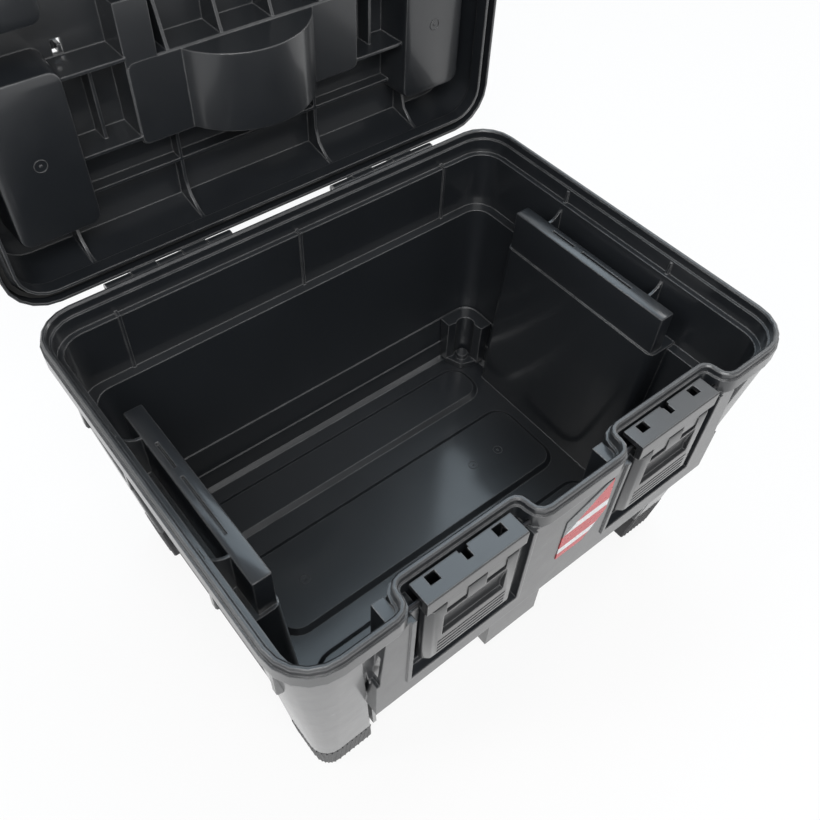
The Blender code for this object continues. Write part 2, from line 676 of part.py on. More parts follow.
for xc in (-NOTCH_X, NOTCH_X):
    cut(cavity, box(xc - BAY_HALF - BAY_WALL, xc + BAY_HALF + BAY_WALL, -HY - 20.0, BAY_Y + BAY_WALL,
                    BAY_Z0 - BAY_WALL, RIM_Z - STEP2_DROP + 0.4))
    x0 = xc - NOTCH_W / 2 - STEP1_IN - BOSS_W
    cut(cavity, box(x0, x0 + BOSS_W, -HY, -HY + STEP2_IN + BOSS_D, BOSS_Z[0], BOSS_Z[1]))
for sx in (-1, 1):
    block = []
    for z in (FLOOR_Z - 3.0, BLOCK_TOP_Z):
        x0, x1 = side_x(sx, block_in(z), -20.0)
        block.append((rounded(x0, x1, -BLOCK_Y, BLOCK_Y, 6.0, ARC_STEPS), z))
    cut(cavity, loft(block))
    x0, x1 = side_x(sx, BAR_IN, BAR_IN - BAR_W)
    cut(cavity, bevel(box(x0, x1, -BAR_END_Y, BAR_END_Y, BLOCK_TOP_Z - 4.0, BAR_TOP_Z), 1.6, 2))
    base_x, wall_x = HX - BAR_IN + BAR_W - 1.0, HX - STEP1_IN + 1.0
    fin_top = RIM_Z - STEP1_DROP - 2.0
    curve = []
    for k in range(7):
        turn = math.pi / 2 * k / 6
        curve.append((base_x + (wall_x - 2.0 - base_x) * math.sin(turn),
                      BAR_TOP_Z - 1.0 + (fin_top - BAR_TOP_Z + 1.0) * (1 - math.cos(turn))))
    fin = [(base_x, BLOCK_TOP_Z - 3.0), (wall_x, BLOCK_TOP_Z - 3.0), (wall_x, fin_top)] + curve[::-1]
    for y in (-FIN_Y, FIN_Y):
        cut(cavity, prism_y([(sx * a, b) for a, b in fin], y - FIN_T / 2, y + FIN_T / 2))
    for y0, y1 in SLITS_Y:
        middle = sx * (HX - BAR_IN + BAR_W / 2 + 1.0)
        join(cavity, box(middle - SLIT_W / 2, middle + SLIT_W / 2, y0, y1, BAR_TOP_Z - SLIT_DEPTH,
                         BAR_TOP_Z + 2.0))
for x in (BACK_RIBS_X[0] - 3.0, 3.0, BACK_RIBS_X[-1] + 3.0):
    cut(cavity, box(x - 1.2, x + 1.2, HY - STEP2_IN - 1.6, HY, LEDGE_Z - 2.0, RIM_Z - STEP2_DROP + 1.0))
for y0, y1 in ((-PANEL_MID_Y, PANEL_MID_Y), PANEL_SIDE_Y, (-PANEL_SIDE_Y[1], -PANEL_SIDE_Y[0])):
    grow = PANEL_SLOPE * 1.25
    wide = rounded(-PANEL_X - grow, PANEL_X + grow, y0 - grow, y1 + grow, PANEL_R + grow)
    cut(cavity, loft([(wide, FLOOR_Z - 1.0),
                      (rounded(-PANEL_X, PANEL_X, y0, y1, PANEL_R), FLOOR_Z + PANEL_H)]))
cut(tub, cavity)

# Recesses from outside keep the walls thin where blocks, ledge and steps stand inside.
for sx in (-1, 1):
    core = []
    for z in (RECESS_Z0, BLOCK_TOP_Z - RECESS_WALL - 1.0):
        x0, x1 = side_x(sx, block_in(z) - RECESS_WALL, -20.0)
        core.append((rounded(x0, x1, -BLOCK_Y + 4.0, BLOCK_Y - 4.0, 4.0, ARC_STEPS), z))
    cut(tub, loft(core))
    x0, x1 = side_x(sx, BAR_IN - RECESS_WALL, BAR_IN - BAR_W + RECESS_WALL)
    cut(tub, box(x0, x1, -BAR_END_Y + 4.0, BAR_END_Y - 4.0, BLOCK_TOP_Z - 10.0,
                 BAR_TOP_Z - SLIT_DEPTH - RECESS_WALL))
    stops = [HY - COLUMN_D - RIB_T] + list(SIDE_RIBS_Y) + [-HY + COLUMN_D + RIB_T]
    for high, low in zip(stops, stops[1:]):
        if high - low > 4 * RIB_T:
            x0, x1 = side_x(sx, STEP2_IN - WALL_T, -20.0)
            cut(tub, box(x0, x1, low + RIB_T / 2, high - RIB_T / 2, SIDE_RIB_Z0, SIDE_RIB_Z1))
    window = []
    for z, span in zip(WINDOW_Z, (WINDOW_LOW, WINDOW_TOP)):
        x0, x1 = min(sx * span[0], sx * span[1]), max(sx * span[0], sx * span[1])
        window.append((plain_box(x0, x1, -HY - 20.0, -HY + WINDOW_Y_IN), z))
    cut(tub, loft(window))
for left, right in zip(BACK_RIBS_X, BACK_RIBS_X[1:]):
    x0, x1 = left + RIB_T / 2, right - RIB_T / 2
    panel = []
    for z in BACK_PANEL_Z:
        y = HY - lower_in(z) + WALL_T + 0.3
        panel.append((rounded(x0, x1, y, HY + 20.0, 3.0, ARC_STEPS), z))
    cut(tub, loft(panel))
    cut(tub, box(x0, x1, HY - STEP2_IN + WALL_T, HY + 20.0, SIDE_RIB_Z0, SIDE_RIB_Z1))

# Hinge knuckles: the tub has the first, third and fifth, the lid the two between.
STEP = (HINGE_X1 - HINGE_X0 + KNUCKLE_GAP) / KNUCKLE_COUNT
KNUCKLE_SPANS = [(HINGE_X0 + i * STEP, HINGE_X0 + (i + 1) * STEP - KNUCKLE_GAP) for i in range(KNUCKLE_COUNT)]


def mirrored(span, sx):
    return (span[0], span[1]) if sx > 0 else (-span[1], -span[0])


for sx in (-1, 1):
    for i, span in enumerate(KNUCKLE_SPANS):
        x0, x1 = mirrored(span, sx)
        if i % 2 == 0:
            join(tub, rod("X", x0, x1, HINGE_Y, HINGE_Z, KNUCKLE_R))
            join(tub, box(x0, x1, HY + 1.0, HINGE_Y, HINGE_Z - KNUCKLE_R, HINGE_Z + 0.2))
        else:
            top = HINGE_Z - KNUCKLE_R - GAP
            join(tub, box(x0, x1, HY + 1.0, HY + STOP_REACH, top - STOP_H, top))
    x0, x1 = mirrored((HINGE_X0 - 1.0, HINGE_X1 + 1.0), sx)
    cut(tub, hole("X", x0, x1, HINGE_Y, HINGE_Z, HINGE_PIN_R))

# Bores for the latch pivot pins and for the stems of the foot anchors.
PIVOT_HALF = BAY_HALF + 6.0
for xc in (-NOTCH_X, NOTCH_X):
    cut(tub, hole("X", xc - PIVOT_HALF - 0.4, xc + PIVOT_HALF + 0.4, PIVOT_Y, PIVOT_Z, PIN_R))
ANCHOR_X = HX - FLOOR_IN - FOOT_ANCHOR_IN
ANCHOR_Y = {-1: -(HY - FRONT_FLOOR_IN - FOOT_ANCHOR_IN), 1: HY - FLOOR_IN - FOOT_ANCHOR_IN}
for sx in (-1, 1):
    for sy in (-1, 1):
        cut(tub, rod("Z", BASE_Z - 5.0, FLOOR_Z + 1.0, sx * ANCHOR_X, ANCHOR_Y[sy], ANCHOR_STEM_R + 0.25))
finish(tub, "tub", BLACK)


def bare_rod(axis, start, end, a, b, radius, name, mat, on_lid=False):
    origin = {"X": ((start + end) / 2, a, b), "Y": (a, (start + end) / 2, b)}[axis]
    return finish(rod(axis, start, end, a, b, radius), name, mat, origin, on_lid)


for side, sx in (("left", -1), ("right", 1)):
    x0, x1 = mirrored((HINGE_X0 + 0.3, HINGE_X1 - 0.3), sx)
    bare_rod("X", x0, x1, HINGE_Y, HINGE_Z, HINGE_PIN_R, "hinge_pin_" + side, STEEL)

# Feet: caps over the lower corners of the tub.
for side, sx in (("left", -1), ("right", 1)):
    for end, sy in (("front", -1), ("back", 1)):
        foot = loft([column_level(0.0, sx, sy), column_level(FOOT_H - GAP, sx, sy)])
        bevel(foot, 1.5, 1, 60.0)
        room = loft([wall_level(BASE_Z - GAP, GAP, FLOOR_CHAMFER),
                     wall_level(BASE_Z + FLOOR_CHAMFER - GAP, GAP),
                     wall_level(FOOT_H + 10.0, GAP)])
        cut(foot, room)
        cut(foot, rod("Z", ANCHOR_STEM_Z - 0.6, BASE_Z + 5.0, sx * ANCHOR_X, ANCHOR_Y[sy],
                      ANCHOR_STEM_R + 0.25))
        finish(foot, "corner_foot_" + end + "_" + side, FOOT_BLACK)

# Foot anchors: a block in each inner corner with a channel down its front. Its stem goes through
# the floor and holds the foot.
ANCHOR_Z0 = FLOOR_Z + FLOOR_CHAMFER + GAP
for side, sx in (("left", -1), ("right", 1)):
    for end, sy in (("front", -1), ("back", 1)):
        lean = front_in if sy < 0 else lower_in
        clear = 2 * LINE_STEP + GAP
        ax, ay = ANCHOR_X, abs(ANCHOR_Y[sy])
        top_x, top_y = HX - lower_in(ANCHOR_TOP_Z) - clear, HY - lean(ANCHOR_TOP_Z) - clear
        end_x, end_y = top_x - ANCHOR_ARM, top_y - ANCHOR_ARM
        lip = ANCHOR_CHANNEL_R * math.sqrt(0.5)
        front = [(end_x, top_y - ANCHOR_ARM_W, 0, 0), (ax - lip, ay + lip, 0, 0), (ax + lip, ay - lip, 0, 0),
                 (top_x - ANCHOR_ARM_W, end_y, 0, 0)]
        levels = []
        for z in (ANCHOR_Z0, ANCHOR_TOP_Z):
            x, y = HX - lower_in(z) - clear, HY - lean(z) - clear
            plan = [(x, y, INNER_R, ARC_BIG_STEPS), (end_x, y, 0, 0)] + front + [(x, end_y, 0, 0)]
            levels.append(([(sx * a, sy * b) for a, b in fillet(plan)], z))
        post = loft(levels)
        far = 40.0
        channel = arc(ax, ay, ANCHOR_CHANNEL_R, -45.0, 135.0, 12)
        channel += [(ax - lip - far, ay + lip - far), (ax + lip - far, ay - lip - far)]
        cut(post, prism_z([(sx * a, sy * b) for a, b in channel], ANCHOR_Z0 - 5.0, ANCHOR_TOP_Z + 5.0))
        x, y = HX - lower_in(FLOOR_Z) - FLOOR_CHAMFER - clear, HY - lean(FLOOR_Z) - FLOOR_CHAMFER - clear
        base = [(x, y, INNER_R, ARC_BIG_STEPS), (end_x + 1.5, y, 0, 0),
                (end_x + 1.5, top_y - ANCHOR_ARM_W - 1.0, 0, 0), (ax - ANCHOR_TIP, ay - ANCHOR_TIP, 0, 0),
                (top_x - ANCHOR_ARM_W - 1.0, end_y + 1.5, 0, 0), (x, end_y + 1.5, 0, 0)]
        base_top = ANCHOR_Z0 + ANCHOR_BASE_T
        join(post, prism_z([(sx * a, sy * b) for a, b in fillet(base)], FLOOR_Z + GAP, base_top))
        join(post, rod("Z", base_top - 1.0, base_top + ANCHOR_BOSS_H, sx * ax, sy * ay, ANCHOR_BOSS_R))
        join(post, rod("Z", ANCHOR_STEM_Z, FLOOR_Z + 2.0, sx * ax, sy * ay, ANCHOR_STEM_R))
        finish(post, "foot_anchor_" + end + "_" + side, BLACK)

# Label on the apron.
label = prism_y(LABEL, APRON_Y - LABEL_GAP - LABEL_T, APRON_Y - LABEL_GAP)
finish(label, "front_label", LABEL_MAT)


# Latches.
def both(span, xc):
    return [(xc - span[1], xc - span[0]), (xc + span[0], xc + span[1])]


LEVER_TOP = HOOKPIN_Z + LEVER_TOP_UP
LEVER_BOTTOM = LEVER_TOP - LEVER_H
LEVER_BACK = -HY + LEVER_BACK_IN
HOOKPIN_HALF = ARM_X[1] + 0.3


def lever_section(xc, front):
    back, face = LEVER_BACK_W / 2, LEVER_FACE_W / 2
    shoulder = -HY - 0.5
    return [(xc - back, LEVER_BACK), (xc + back, LEVER_BACK), (xc + back, shoulder), (xc + face, front),
            (xc - face, front), (xc - back, shoulder)]


for side, xc in (("left", -NOTCH_X), ("right", NOTCH_X)):
    face_top, face_bottom = -HY - LEVER_FACE_TOP, -HY - LEVER_FACE_BOTTOM
    lever = loft([(lever_section(xc, face_bottom), LEVER_BOTTOM), (lever_section(xc, face_top), LEVER_TOP)])
    bevel(lever, 1.2, 2, 25.0)
    z0, z1 = LEVER_TOP - RECESS_DROP[1], LEVER_TOP - RECESS_DROP[0]
    deep = face_top + RECESS_DEEP
    scoop = [(-HY - 30.0, z1), (face_top + 0.2, z1), (deep - 0.8, z0 + 11.0), (deep, z0 + 5.0),
             (deep - 0.6, z0), (-HY - 30.0, z0)]
    cut(lever, prism_x(scoop, xc - RECESS_W / 2, xc + RECESS_W / 2))
    for i in range(GRIP_GROOVE_COUNT):
        z = LEVER_BOTTOM + GRIP_UP + i * GRIP_PITCH
        cut(lever, box(xc - RECESS_W / 2 - 3.0, xc + RECESS_W / 2 + 3.0, -HY - 30.0,
                       face_bottom + GRIP_DEPTH + 0.02 * i, z - GRIP_SLOT / 2, z + GRIP_SLOT / 2))
    for x0, x1 in both(EYE_HOOK, xc):
        x0, x1 = x0 - EYE_CLEAR, x1 + EYE_CLEAR
        reach = EYE_R + EYE_CLEAR
        slot = rod("X", x0, x1, HOOKPIN_Y, HOOKPIN_Z, reach, 24)
        join(slot, box(x0, x1, -HY - 30.0, LEVER_BACK + 5.0, HOOKPIN_Z, LEVER_TOP + 5.0))
        join(slot, box(x0, x1, -HY - 30.0, HOOKPIN_Y, HOOKPIN_Z - reach, HOOKPIN_Z + 1.0))
        cut(lever, slot)
    for x0, x1 in both(ARM_X, xc):
        outline = [(PIVOT_Y - ARM_R, LEVER_TOP - 4.0), (PIVOT_Y + ARM_R - 1.5, LEVER_TOP - 4.0)]
        outline += arc(PIVOT_Y, PIVOT_Z, ARM_R, 0.0, 180.0, 8)
        join(lever, prism_x(outline, x0, x1))
    cut(lever, hole("X", xc - 60.0, xc + 60.0, PIVOT_Y, PIVOT_Z, PIN_R))
    cut(lever, hole("X", xc - HOOKPIN_HALF - 0.3, xc + HOOKPIN_HALF + 0.3, HOOKPIN_Y, HOOKPIN_Z, HOOKPIN_R))
    finish(lever, "latch_lever_" + side, LATCH_BLACK, (xc, PIVOT_Y, PIVOT_Z))

    low = PLATE_TOP - BAND_H
    angle = [(PLATE_Y1, PLATE_TOP - PLATE_T), (PLATE_Y1, PLATE_TOP), (PLATE_Y0 + 0.9, PLATE_TOP),
             (PLATE_Y0, PLATE_TOP - 0.9), (PLATE_Y0, low + 0.5), (PLATE_Y0 + 0.5, low),
             (PLATE_Y0 + BAND_T, low),
             (PLATE_Y0 + BAND_T, PLATE_TOP - PLATE_T - 1.0), (PLATE_Y0 + BAND_T + 1.0, PLATE_TOP - PLATE_T)]
    hook = prism_x(angle, xc - PLATE_W / 2, xc + PLATE_W / 2)
    for x0, x1 in both(EYE_HOOK, xc):
        top = low + 2.0
        outline = [(PLATE_Y0 + 0.3, top)] + arc(HOOKPIN_Y, HOOKPIN_Z, EYE_R, 180.0, 360.0, 12)
        outline += [(HOOKPIN_Y + 2.5, top - 4.0), (PLATE_Y0 + BAND_T - 0.3, top)]
        join(hook, prism_x(outline, x0, x1))
    cheek = [(PLATE_Y0 + 0.5, low), (PLATE_Y0 + CHEEK_FRONT, low),
             (PLATE_Y0 + CHEEK_FRONT, PLATE_TOP - CHEEK_H),
             (PLATE_Y1, PLATE_TOP - CHEEK_H), (PLATE_Y1, PLATE_TOP - 0.2), (PLATE_Y0 + 0.5, PLATE_TOP - 0.6)]
    for x in (xc - PLATE_W / 2 + 0.1, xc + PLATE_W / 2 - CHEEK_T - 0.1):
        join(hook, prism_x(cheek, x, x + CHEEK_T))
    for x in (xc - HOLE_X, xc + HOLE_X):
        y1 = PLATE_Y1 - 1.6
        cut(hook, box(x - HOLE_SIDE / 2, x + HOLE_SIDE / 2, y1 - HOLE_SIDE + 1.0, y1,
                      PLATE_TOP - PLATE_T - 2.0, PLATE_TOP + 2.0))
    half = CATCH_W / 2 + CATCH_SIDE_GAP
    cut(hook, box(xc - half, xc + half, CATCH_NOTCH_Y, PLATE_Y1 + 5.0, PLATE_TOP - PLATE_T - 2.0,
                  PLATE_TOP + 2.0))
    cut(hook, box(xc - SLOT_W / 2, xc + SLOT_W / 2, CATCH_NOTCH_Y - SLOT_D, CATCH_NOTCH_Y + 2.0,
                  PLATE_TOP - PLATE_T - 2.0, PLATE_TOP + 2.0))
    cut(hook, hole("X", xc - 60.0, xc + 60.0, HOOKPIN_Y, HOOKPIN_Z, HOOKPIN_R))
    finish(hook, "latch_hook_" + side, LATCH_BLACK, (xc, HOOKPIN_Y, HOOKPIN_Z))

    bare_rod("X", xc - PIVOT_HALF, xc + PIVOT_HALF, PIVOT_Y, PIVOT_Z, PIN_R, "latch_pivot_pin_" + side,
             BLACK_STEEL)
    bare_rod("X", xc - HOOKPIN_HALF, xc + HOOKPIN_HALF, HOOKPIN_Y, HOOKPIN_Z, HOOKPIN_R,
             "latch_hook_pin_" + side,
             BLACK_STEEL)

# Lid, drawn closed.
SHOULDER2_Z = LID_Z0 + LID_SKIRT_H
lid = loft([(rim_outline(LID_SKIRT_OUT), LID_Z0), (rim_outline(LID_SKIRT_OUT), SHOULDER2_Z - 1.0),
            (rim_outline(LID_SKIRT_OUT - 1.0), SHOULDER2_Z), (rim_outline(LID_SHOULDER_OUT), SHOULDER2_Z),
            (rim_outline(LID_TOP_OUT + 2.5), LID_TOP_Z - 2.5), (rim_outline(LID_TOP_OUT), LID_TOP_Z)])

# The hollow under the lid; blocks and ribs are taken out of the cutter.
lip_in = -GROOVE_IN - LIP_T
roof = RIM_Z + GROOVE_TOP_UP + 2.2
hollow = loft([(rim_outline(lip_in), LID_Z0 - 5.0), (rim_outline(lip_in), roof),
               (rim_outline(LID_INNER_OUT), roof),
               (rim_outline(LID_INNER_TOP), LID_PLATE_Z)])
TOP = LID_PLATE_Z + 5.0


def scoop_outline(half, deep, low, top, steps=14):
    """Arc below a level, closed above it at the top, in (x, z)."""
    radius = (half * half + deep * deep) / (2 * deep)
    span = math.degrees(math.asin(half / radius))
    points = arc(0.0, low - deep + radius, radius, 270.0 - span, 270.0 + span, steps)
    return points + [(half, top), (-half, top)]


for sx in (-1, 1):
    for sy in (-1, 1):
        x0, x1 = mirrored(POCKET_X, sx)
        y0, y1 = mirrored(POCKET_Y, sy)
        block = []
        steps = ((POCKET_EDGE, 0.0), (0.3 * POCKET_EDGE, 0.3 * POCKET_EDGE), (0.0, POCKET_EDGE),
                 (-2 * POCKET_DRAFT, TOP - POCKET_Z))
        for inset, rise in steps:
            inset += POCKET_DRAFT
            plan = rounded(x0 + inset, x1 - inset, y0 + inset, y1 - inset, POCKET_R)
            block.append((plan, POCKET_Z + rise))
        cut(hollow, loft(block))
        for x in LID_LONG_RIB_X:
            y_in = WELL_Y[1] - 1.0 if x < POCKET_X[0] and sy > 0 else POCKET_Y[1] - 1.0
            y_out = HY - 3.0
            gusset = [(y_in, TOP), (y_in, LID_LOW_RIB_Z), (y_out - 24.0, LID_LOW_RIB_Z),
                      (y_out - 12.0, LID_LOW_RIB_Z - 4.0), (y_out - 4.0, LID_LOW_RIB_Z - 13.0),
                      (y_out, LID_LOW_RIB_Z - 22.0), (y_out, TOP)]
            gusset = [(sy * a, b) for a, b in gusset]
            cut(hollow, prism_x(gusset, sx * x - LID_RIB_T / 2, sx * x + LID_RIB_T / 2))
        for y in LID_RIB_Y:
            x0, x1 = mirrored((PIVOT_BOX_X + 1.0 if sy < 0 else WELL_X - 1.0, POCKET_X[0] + 1.0), sx)
            low = LID_RIB_Z if sy > 0 else LID_LOW_RIB_Z
            cut(hollow, box(x0, x1, sy * y - LID_RIB_T / 2, sy * y + LID_RIB_T / 2, low, TOP))
        cut(hollow, box(sx * LID_MID_RIB_X - LID_RIB_T / 2, sx * LID_MID_RIB_X + LID_RIB_T / 2,
                        min(sy * LID_RIB_Y[0], sy * LID_RIB_Y[1]), max(sy * LID_RIB_Y[0], sy * LID_RIB_Y[1]),
                        LID_LOW_RIB_Z - 4.0, TOP))
    x0, x1 = mirrored((PIVOT_BOX_X, WELL_X), sx)
    cut(hollow, box(x0, x1, PIVOT_BOX_Y0, WELL_Y[0] + 3.0, WELL_Z + 0.1, TOP))
    for x in WELL_WEB_X:
        web = [(WELL_Y[0] - reach, WELL_Z + rise) for reach, rise in WELL_WEB]
        web = [(WELL_Y[0] + 1.0, TOP), (WELL_Y[0] + 1.0, web[0][1])] + web + [(web[-1][0], TOP)]
        cut(hollow, prism_x(web, sx * x - LID_RIB_T / 2, sx * x + LID_RIB_T / 2))
for sy in (-1, 1):
    cut(hollow, box(-POCKET_X[0] - 1.0, POCKET_X[0] + 1.0, sy * LID_LOW_RIB_Y - LID_RIB_T / 2,
                    sy * LID_LOW_RIB_Y + LID_RIB_T / 2, LID_LOW_RIB_Z, TOP))
block = []
for inset, z in ((WELL_EDGE, WELL_Z), (0.0, WELL_Z + WELL_EDGE), (0.0, TOP)):
    plan = rounded(-WELL_X + inset, WELL_X - inset, WELL_Y[0] + inset, WELL_Y[1] - inset, 5.0, ARC_STEPS)
    block.append((plan, z))
cut(hollow, loft(block))
cut(lid, hollow)
bulge = scoop_outline(SCOOP_X, SCOOP_DEEP, WELL_Z + 0.2, WELL_Z + 1.2)
edge = WELL_EDGE + 0.4
join(lid, prism_y(bulge, WELL_Y[0] + edge, WELL_Y[1] - edge))
groove = prism_z(rim_outline(GROOVE_OUT), LID_Z0 - 5.0, RIM_Z + GROOVE_TOP_UP)
cut(groove, prism_z(rim_outline(-GROOVE_IN), LID_Z0 - 9.0, RIM_Z + GROOVE_TOP_UP + 4.0))
cut(lid, groove)

# Hollows from the top: four trays, the handle well with its finger scoop, and the pivot channels.
SKY = LID_TOP_Z + 10.0
for sx in (-1, 1):
    for sy in (-1, 1):
        x0, x1 = mirrored((POCKET_X[0] + BLOCK_SKIN, POCKET_X[1] - BLOCK_SKIN), sx)
        y0, y1 = mirrored((POCKET_Y[0] + BLOCK_SKIN, POCKET_Y[1] - BLOCK_SKIN), sy)
        radius = POCKET_R - BLOCK_SKIN
        tray = []
        for inset, z in ((POCKET_DRAFT, POCKET_Z + BLOCK_SKIN), (-POCKET_DRAFT, SKY)):
            tray.append((rounded(x0 + inset, x1 - inset, y0 + inset, y1 - inset, radius), z))
        cut(lid, loft(tray))
    x0, x1 = mirrored((PIVOT_BOX_X + BLOCK_SKIN, WELL_X - BLOCK_SKIN), sx)
    cut(lid, box(x0, x1, PIVOT_BOX_Y0 + BLOCK_SKIN, WELL_Y[0] + BLOCK_SKIN + 1.0,
                 WELL_Z + BLOCK_SKIN + 0.1, SKY))
    x0, x1 = mirrored(LID_HOLE_X, sx)
    cut(lid, box(x0, x1, LID_HOLE_Y[0], LID_HOLE_Y[1], LID_PLATE_Z - 5.0, SKY))
    x0, x1 = mirrored((PIVOT_BOX_X - 5.0, HANDLE_PIN_X[1] + 0.3), sx)
    cut(lid, hole("X", x0, x1, 0.0, HANDLE_AXIS_Z, HANDLE_PIN_R))
plan = rounded(-WELL_X + BLOCK_SKIN, WELL_X - BLOCK_SKIN, WELL_Y[0] + BLOCK_SKIN, WELL_Y[1] - BLOCK_SKIN, 2.5,
               ARC_STEPS)
cut(lid, prism_z(plan, WELL_Z + BLOCK_SKIN, SKY))
bowl = scoop_outline(SCOOP_X - 3.0, SCOOP_DEEP - 1.0, WELL_Z + BLOCK_SKIN + 0.2, SKY)
cut(lid, prism_y(bowl, WELL_Y[0] + BLOCK_SKIN + edge, WELL_Y[1] - BLOCK_SKIN - edge))

# Hinge arms, latch catches and the barrels of the top covers.
for sx in (-1, 1):
    for i, span in enumerate(KNUCKLE_SPANS):
        if i % 2 == 0:
            continue
        x0, x1 = mirrored(span, sx)
        y_in = HY + GROOVE_OUT + 0.8
        y_arm = HY + FLANGE_OUT + 0.5
        outline = [(y_in, LID_Z0 + 1.0), (y_arm, LID_Z0 + 0.5), (y_arm, HINGE_Z)]
        outline += arc(HINGE_Y, HINGE_Z, KNUCKLE_R, 200.0, 360.0, 10)
        outline += [(HINGE_Y + KNUCKLE_R, HINGE_Z + HINGE_ARM_UP - 4.0),
                    (HINGE_Y + 1.0, HINGE_Z + HINGE_ARM_UP),
                    (y_in, HINGE_Z + HINGE_ARM_UP)]
        join(lid, prism_x(outline, x0, x1))
    x0, x1 = mirrored((HINGE_X0 - 1.0, HINGE_X1 + 1.0), sx)
    cut(lid, hole("X", x0, x1, HINGE_Y, HINGE_Z, HINGE_PIN_R))
    xc = sx * NOTCH_X
    half = CATCH_W / 2
    z0 = RIM_Z - CATCH_NIB_Z[0]
    catch = box(xc - half, xc + half, CATCH_Y0, CATCH_Y1, z0, LID_Z0 + 8.0)
    join(catch, box(xc - half, xc + half, CATCH_Y0 - CATCH_NIB, CATCH_Y0 + 0.6, z0 + 0.2,
                    RIM_Z - CATCH_NIB_Z[1]))
    join(lid, catch)
    for y0, y1 in ((-COVER_BARREL_Y[1], -COVER_BARREL_Y[0]), (COVER_BARREL_Y[0], COVER_BARREL_Y[1])):
        xa = sx * COVER_AXIS_X
        for end in (y0 - COVER_BARREL_GAP - COVER_BARREL_L, y1 + COVER_BARREL_GAP):
            barrel = rod("Y", end, end + COVER_BARREL_L, xa, COVER_AXIS_Z, COVER_BARREL_R)
            join(barrel, box(xa - COVER_BARREL_R, xa + COVER_BARREL_R, end, end + COVER_BARREL_L,
                             LID_TOP_Z - 1.0, COVER_AXIS_Z))
            join(lid, barrel)
        cut(lid, hole("Y", y0 - COVER_BARREL_L - 1.0, y1 + COVER_BARREL_L + 1.0, xa, COVER_AXIS_Z, COVER_PIN_R))
finish(lid, "lid", BLACK, (0.0, HINGE_Y, HINGE_Z), True)

seal = prism_z(rim_outline(SEAL_HALF), RIM_Z + GROOVE_TOP_UP - GAP - SEAL_T, RIM_Z + GROOVE_TOP_UP - GAP)
cut(seal, prism_z(rim_outline(-SEAL_HALF), RIM_Z - 5.0, RIM_Z + 10.0))
finish(seal, "lid_seal", RUBBER, (0.0, HINGE_Y, HINGE_Z), True)

# Carry handle, folded flat in its well, and its two pins.
handle = box(-HANDLE_ARM_X[1], HANDLE_ARM_X[1], HANDLE_REACH - GRIP_D / 2, HANDLE_REACH + GRIP_D / 2,
             HANDLE_AXIS_Z - GRIP_H / 2, HANDLE_AXIS_Z + GRIP_H / 2)
bevel(handle, 5.5, 3, 60.0)
for sx in (-1, 1):
    x0, x1 = mirrored(HANDLE_ARM_X, sx)
    outline = arc(0.0, HANDLE_AXIS_Z, HANDLE_ARM_H / 2, 90.0, 270.0, 8)
    outline += [(HANDLE_REACH, HANDLE_AXIS_Z - HANDLE_ARM_H / 2 + 0.4),
                (HANDLE_REACH, HANDLE_AXIS_Z + HANDLE_ARM_H / 2 - 0.4)]
    join(handle, prism_x(outline, x0 + 0.4 if sx < 0 else x0, x1 - 0.4 if sx > 0 else x1))
cut(handle, hole("X", -100.0, 100.0, 0.0, HANDLE_AXIS_Z, HANDLE_PIN_R))
finish(handle, "carry_handle", LATCH_BLACK, (0.0, 0.0, HANDLE_AXIS_Z), True)
for side, sx in (("left", -1), ("right", 1)):
    x0, x1 = mirrored(HANDLE_PIN_X, sx)
    bare_rod("X", x0, x1, 0.0, HANDLE_AXIS_Z, HANDLE_PIN_R, "handle_pin_" + side, STEEL, True)

# Top covers and their pins.
for side, sx in (("left", -1), ("right", 1)):
    x0, x1 = mirrored(COVER_X, sx)
    cover = prism_z(rounded(x0, x1, -COVER_Y, COVER_Y, COVER_R), COVER_Z0, COVER_Z0 + COVER_T)
    for y0, y1 in ((-COVER_BARREL_Y[1], -COVER_BARREL_Y[0]), (COVER_BARREL_Y[0], COVER_BARREL_Y[1])):
        join(cover, rod("Y", y0, y1, sx * COVER_AXIS_X, COVER_AXIS_Z, COVER_BARREL_R))
        a, b = mirrored((COVER_X[1] - 4.0, COVER_AXIS_X), sx)
        join(cover, box(a, b, y0, y1, COVER_Z0 + 0.3, COVER_Z0 + COVER_T - 0.2))
    a, b = mirrored(COVER_TAB_X, sx)
    y0, y1 = LID_HOLE_Y[0] + 2.0, LID_HOLE_Y[1] - 2.0
    join(cover, box(a, b, y0, y1, COVER_Z0 + 0.2, COVER_Z0 + COVER_T - 0.2))
    a, b = mirrored((COVER_TAB_X[0] + 0.2, COVER_TAB_X[0] + 2.6), sx)
    join(cover, box(a, b, y0 + 0.2, y1 - 0.2, COVER_Z0 - COVER_TAB_DOWN, COVER_Z0 + 1.0))
    for y0, y1 in ((-COVER_BARREL_Y[1], -COVER_BARREL_Y[0]), (COVER_BARREL_Y[0], COVER_BARREL_Y[1])):
        cut(cover, hole("Y", y0 - 1.0, y1 + 1.0, sx * COVER_AXIS_X, COVER_AXIS_Z, COVER_PIN_R))
    finish(cover, "top_cover_" + side, BLACK, (sx * COVER_AXIS_X, 0.0, COVER_AXIS_Z), True)
    for end, (y0, y1) in (("front", (-COVER_BARREL_Y[1], -COVER_BARREL_Y[0])), ("back", COVER_BARREL_Y)):
        over = COVER_BARREL_L + 0.2
        bare_rod("Y", y0 - over, y1 + over, sx * COVER_AXIS_X, COVER_AXIS_Z, COVER_PIN_R,
                 "cover_pin_" + end + "_" + side, STEEL, True)
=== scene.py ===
"""Looks of the plastic toolbox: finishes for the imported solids, fine moulded detail,
a white studio floor and the photograph's camera. Lengths are in metres."""
import json
import math

import bmesh
import bpy
from mathutils import Matrix, Vector
from mathutils.bvhtree import BVHTree


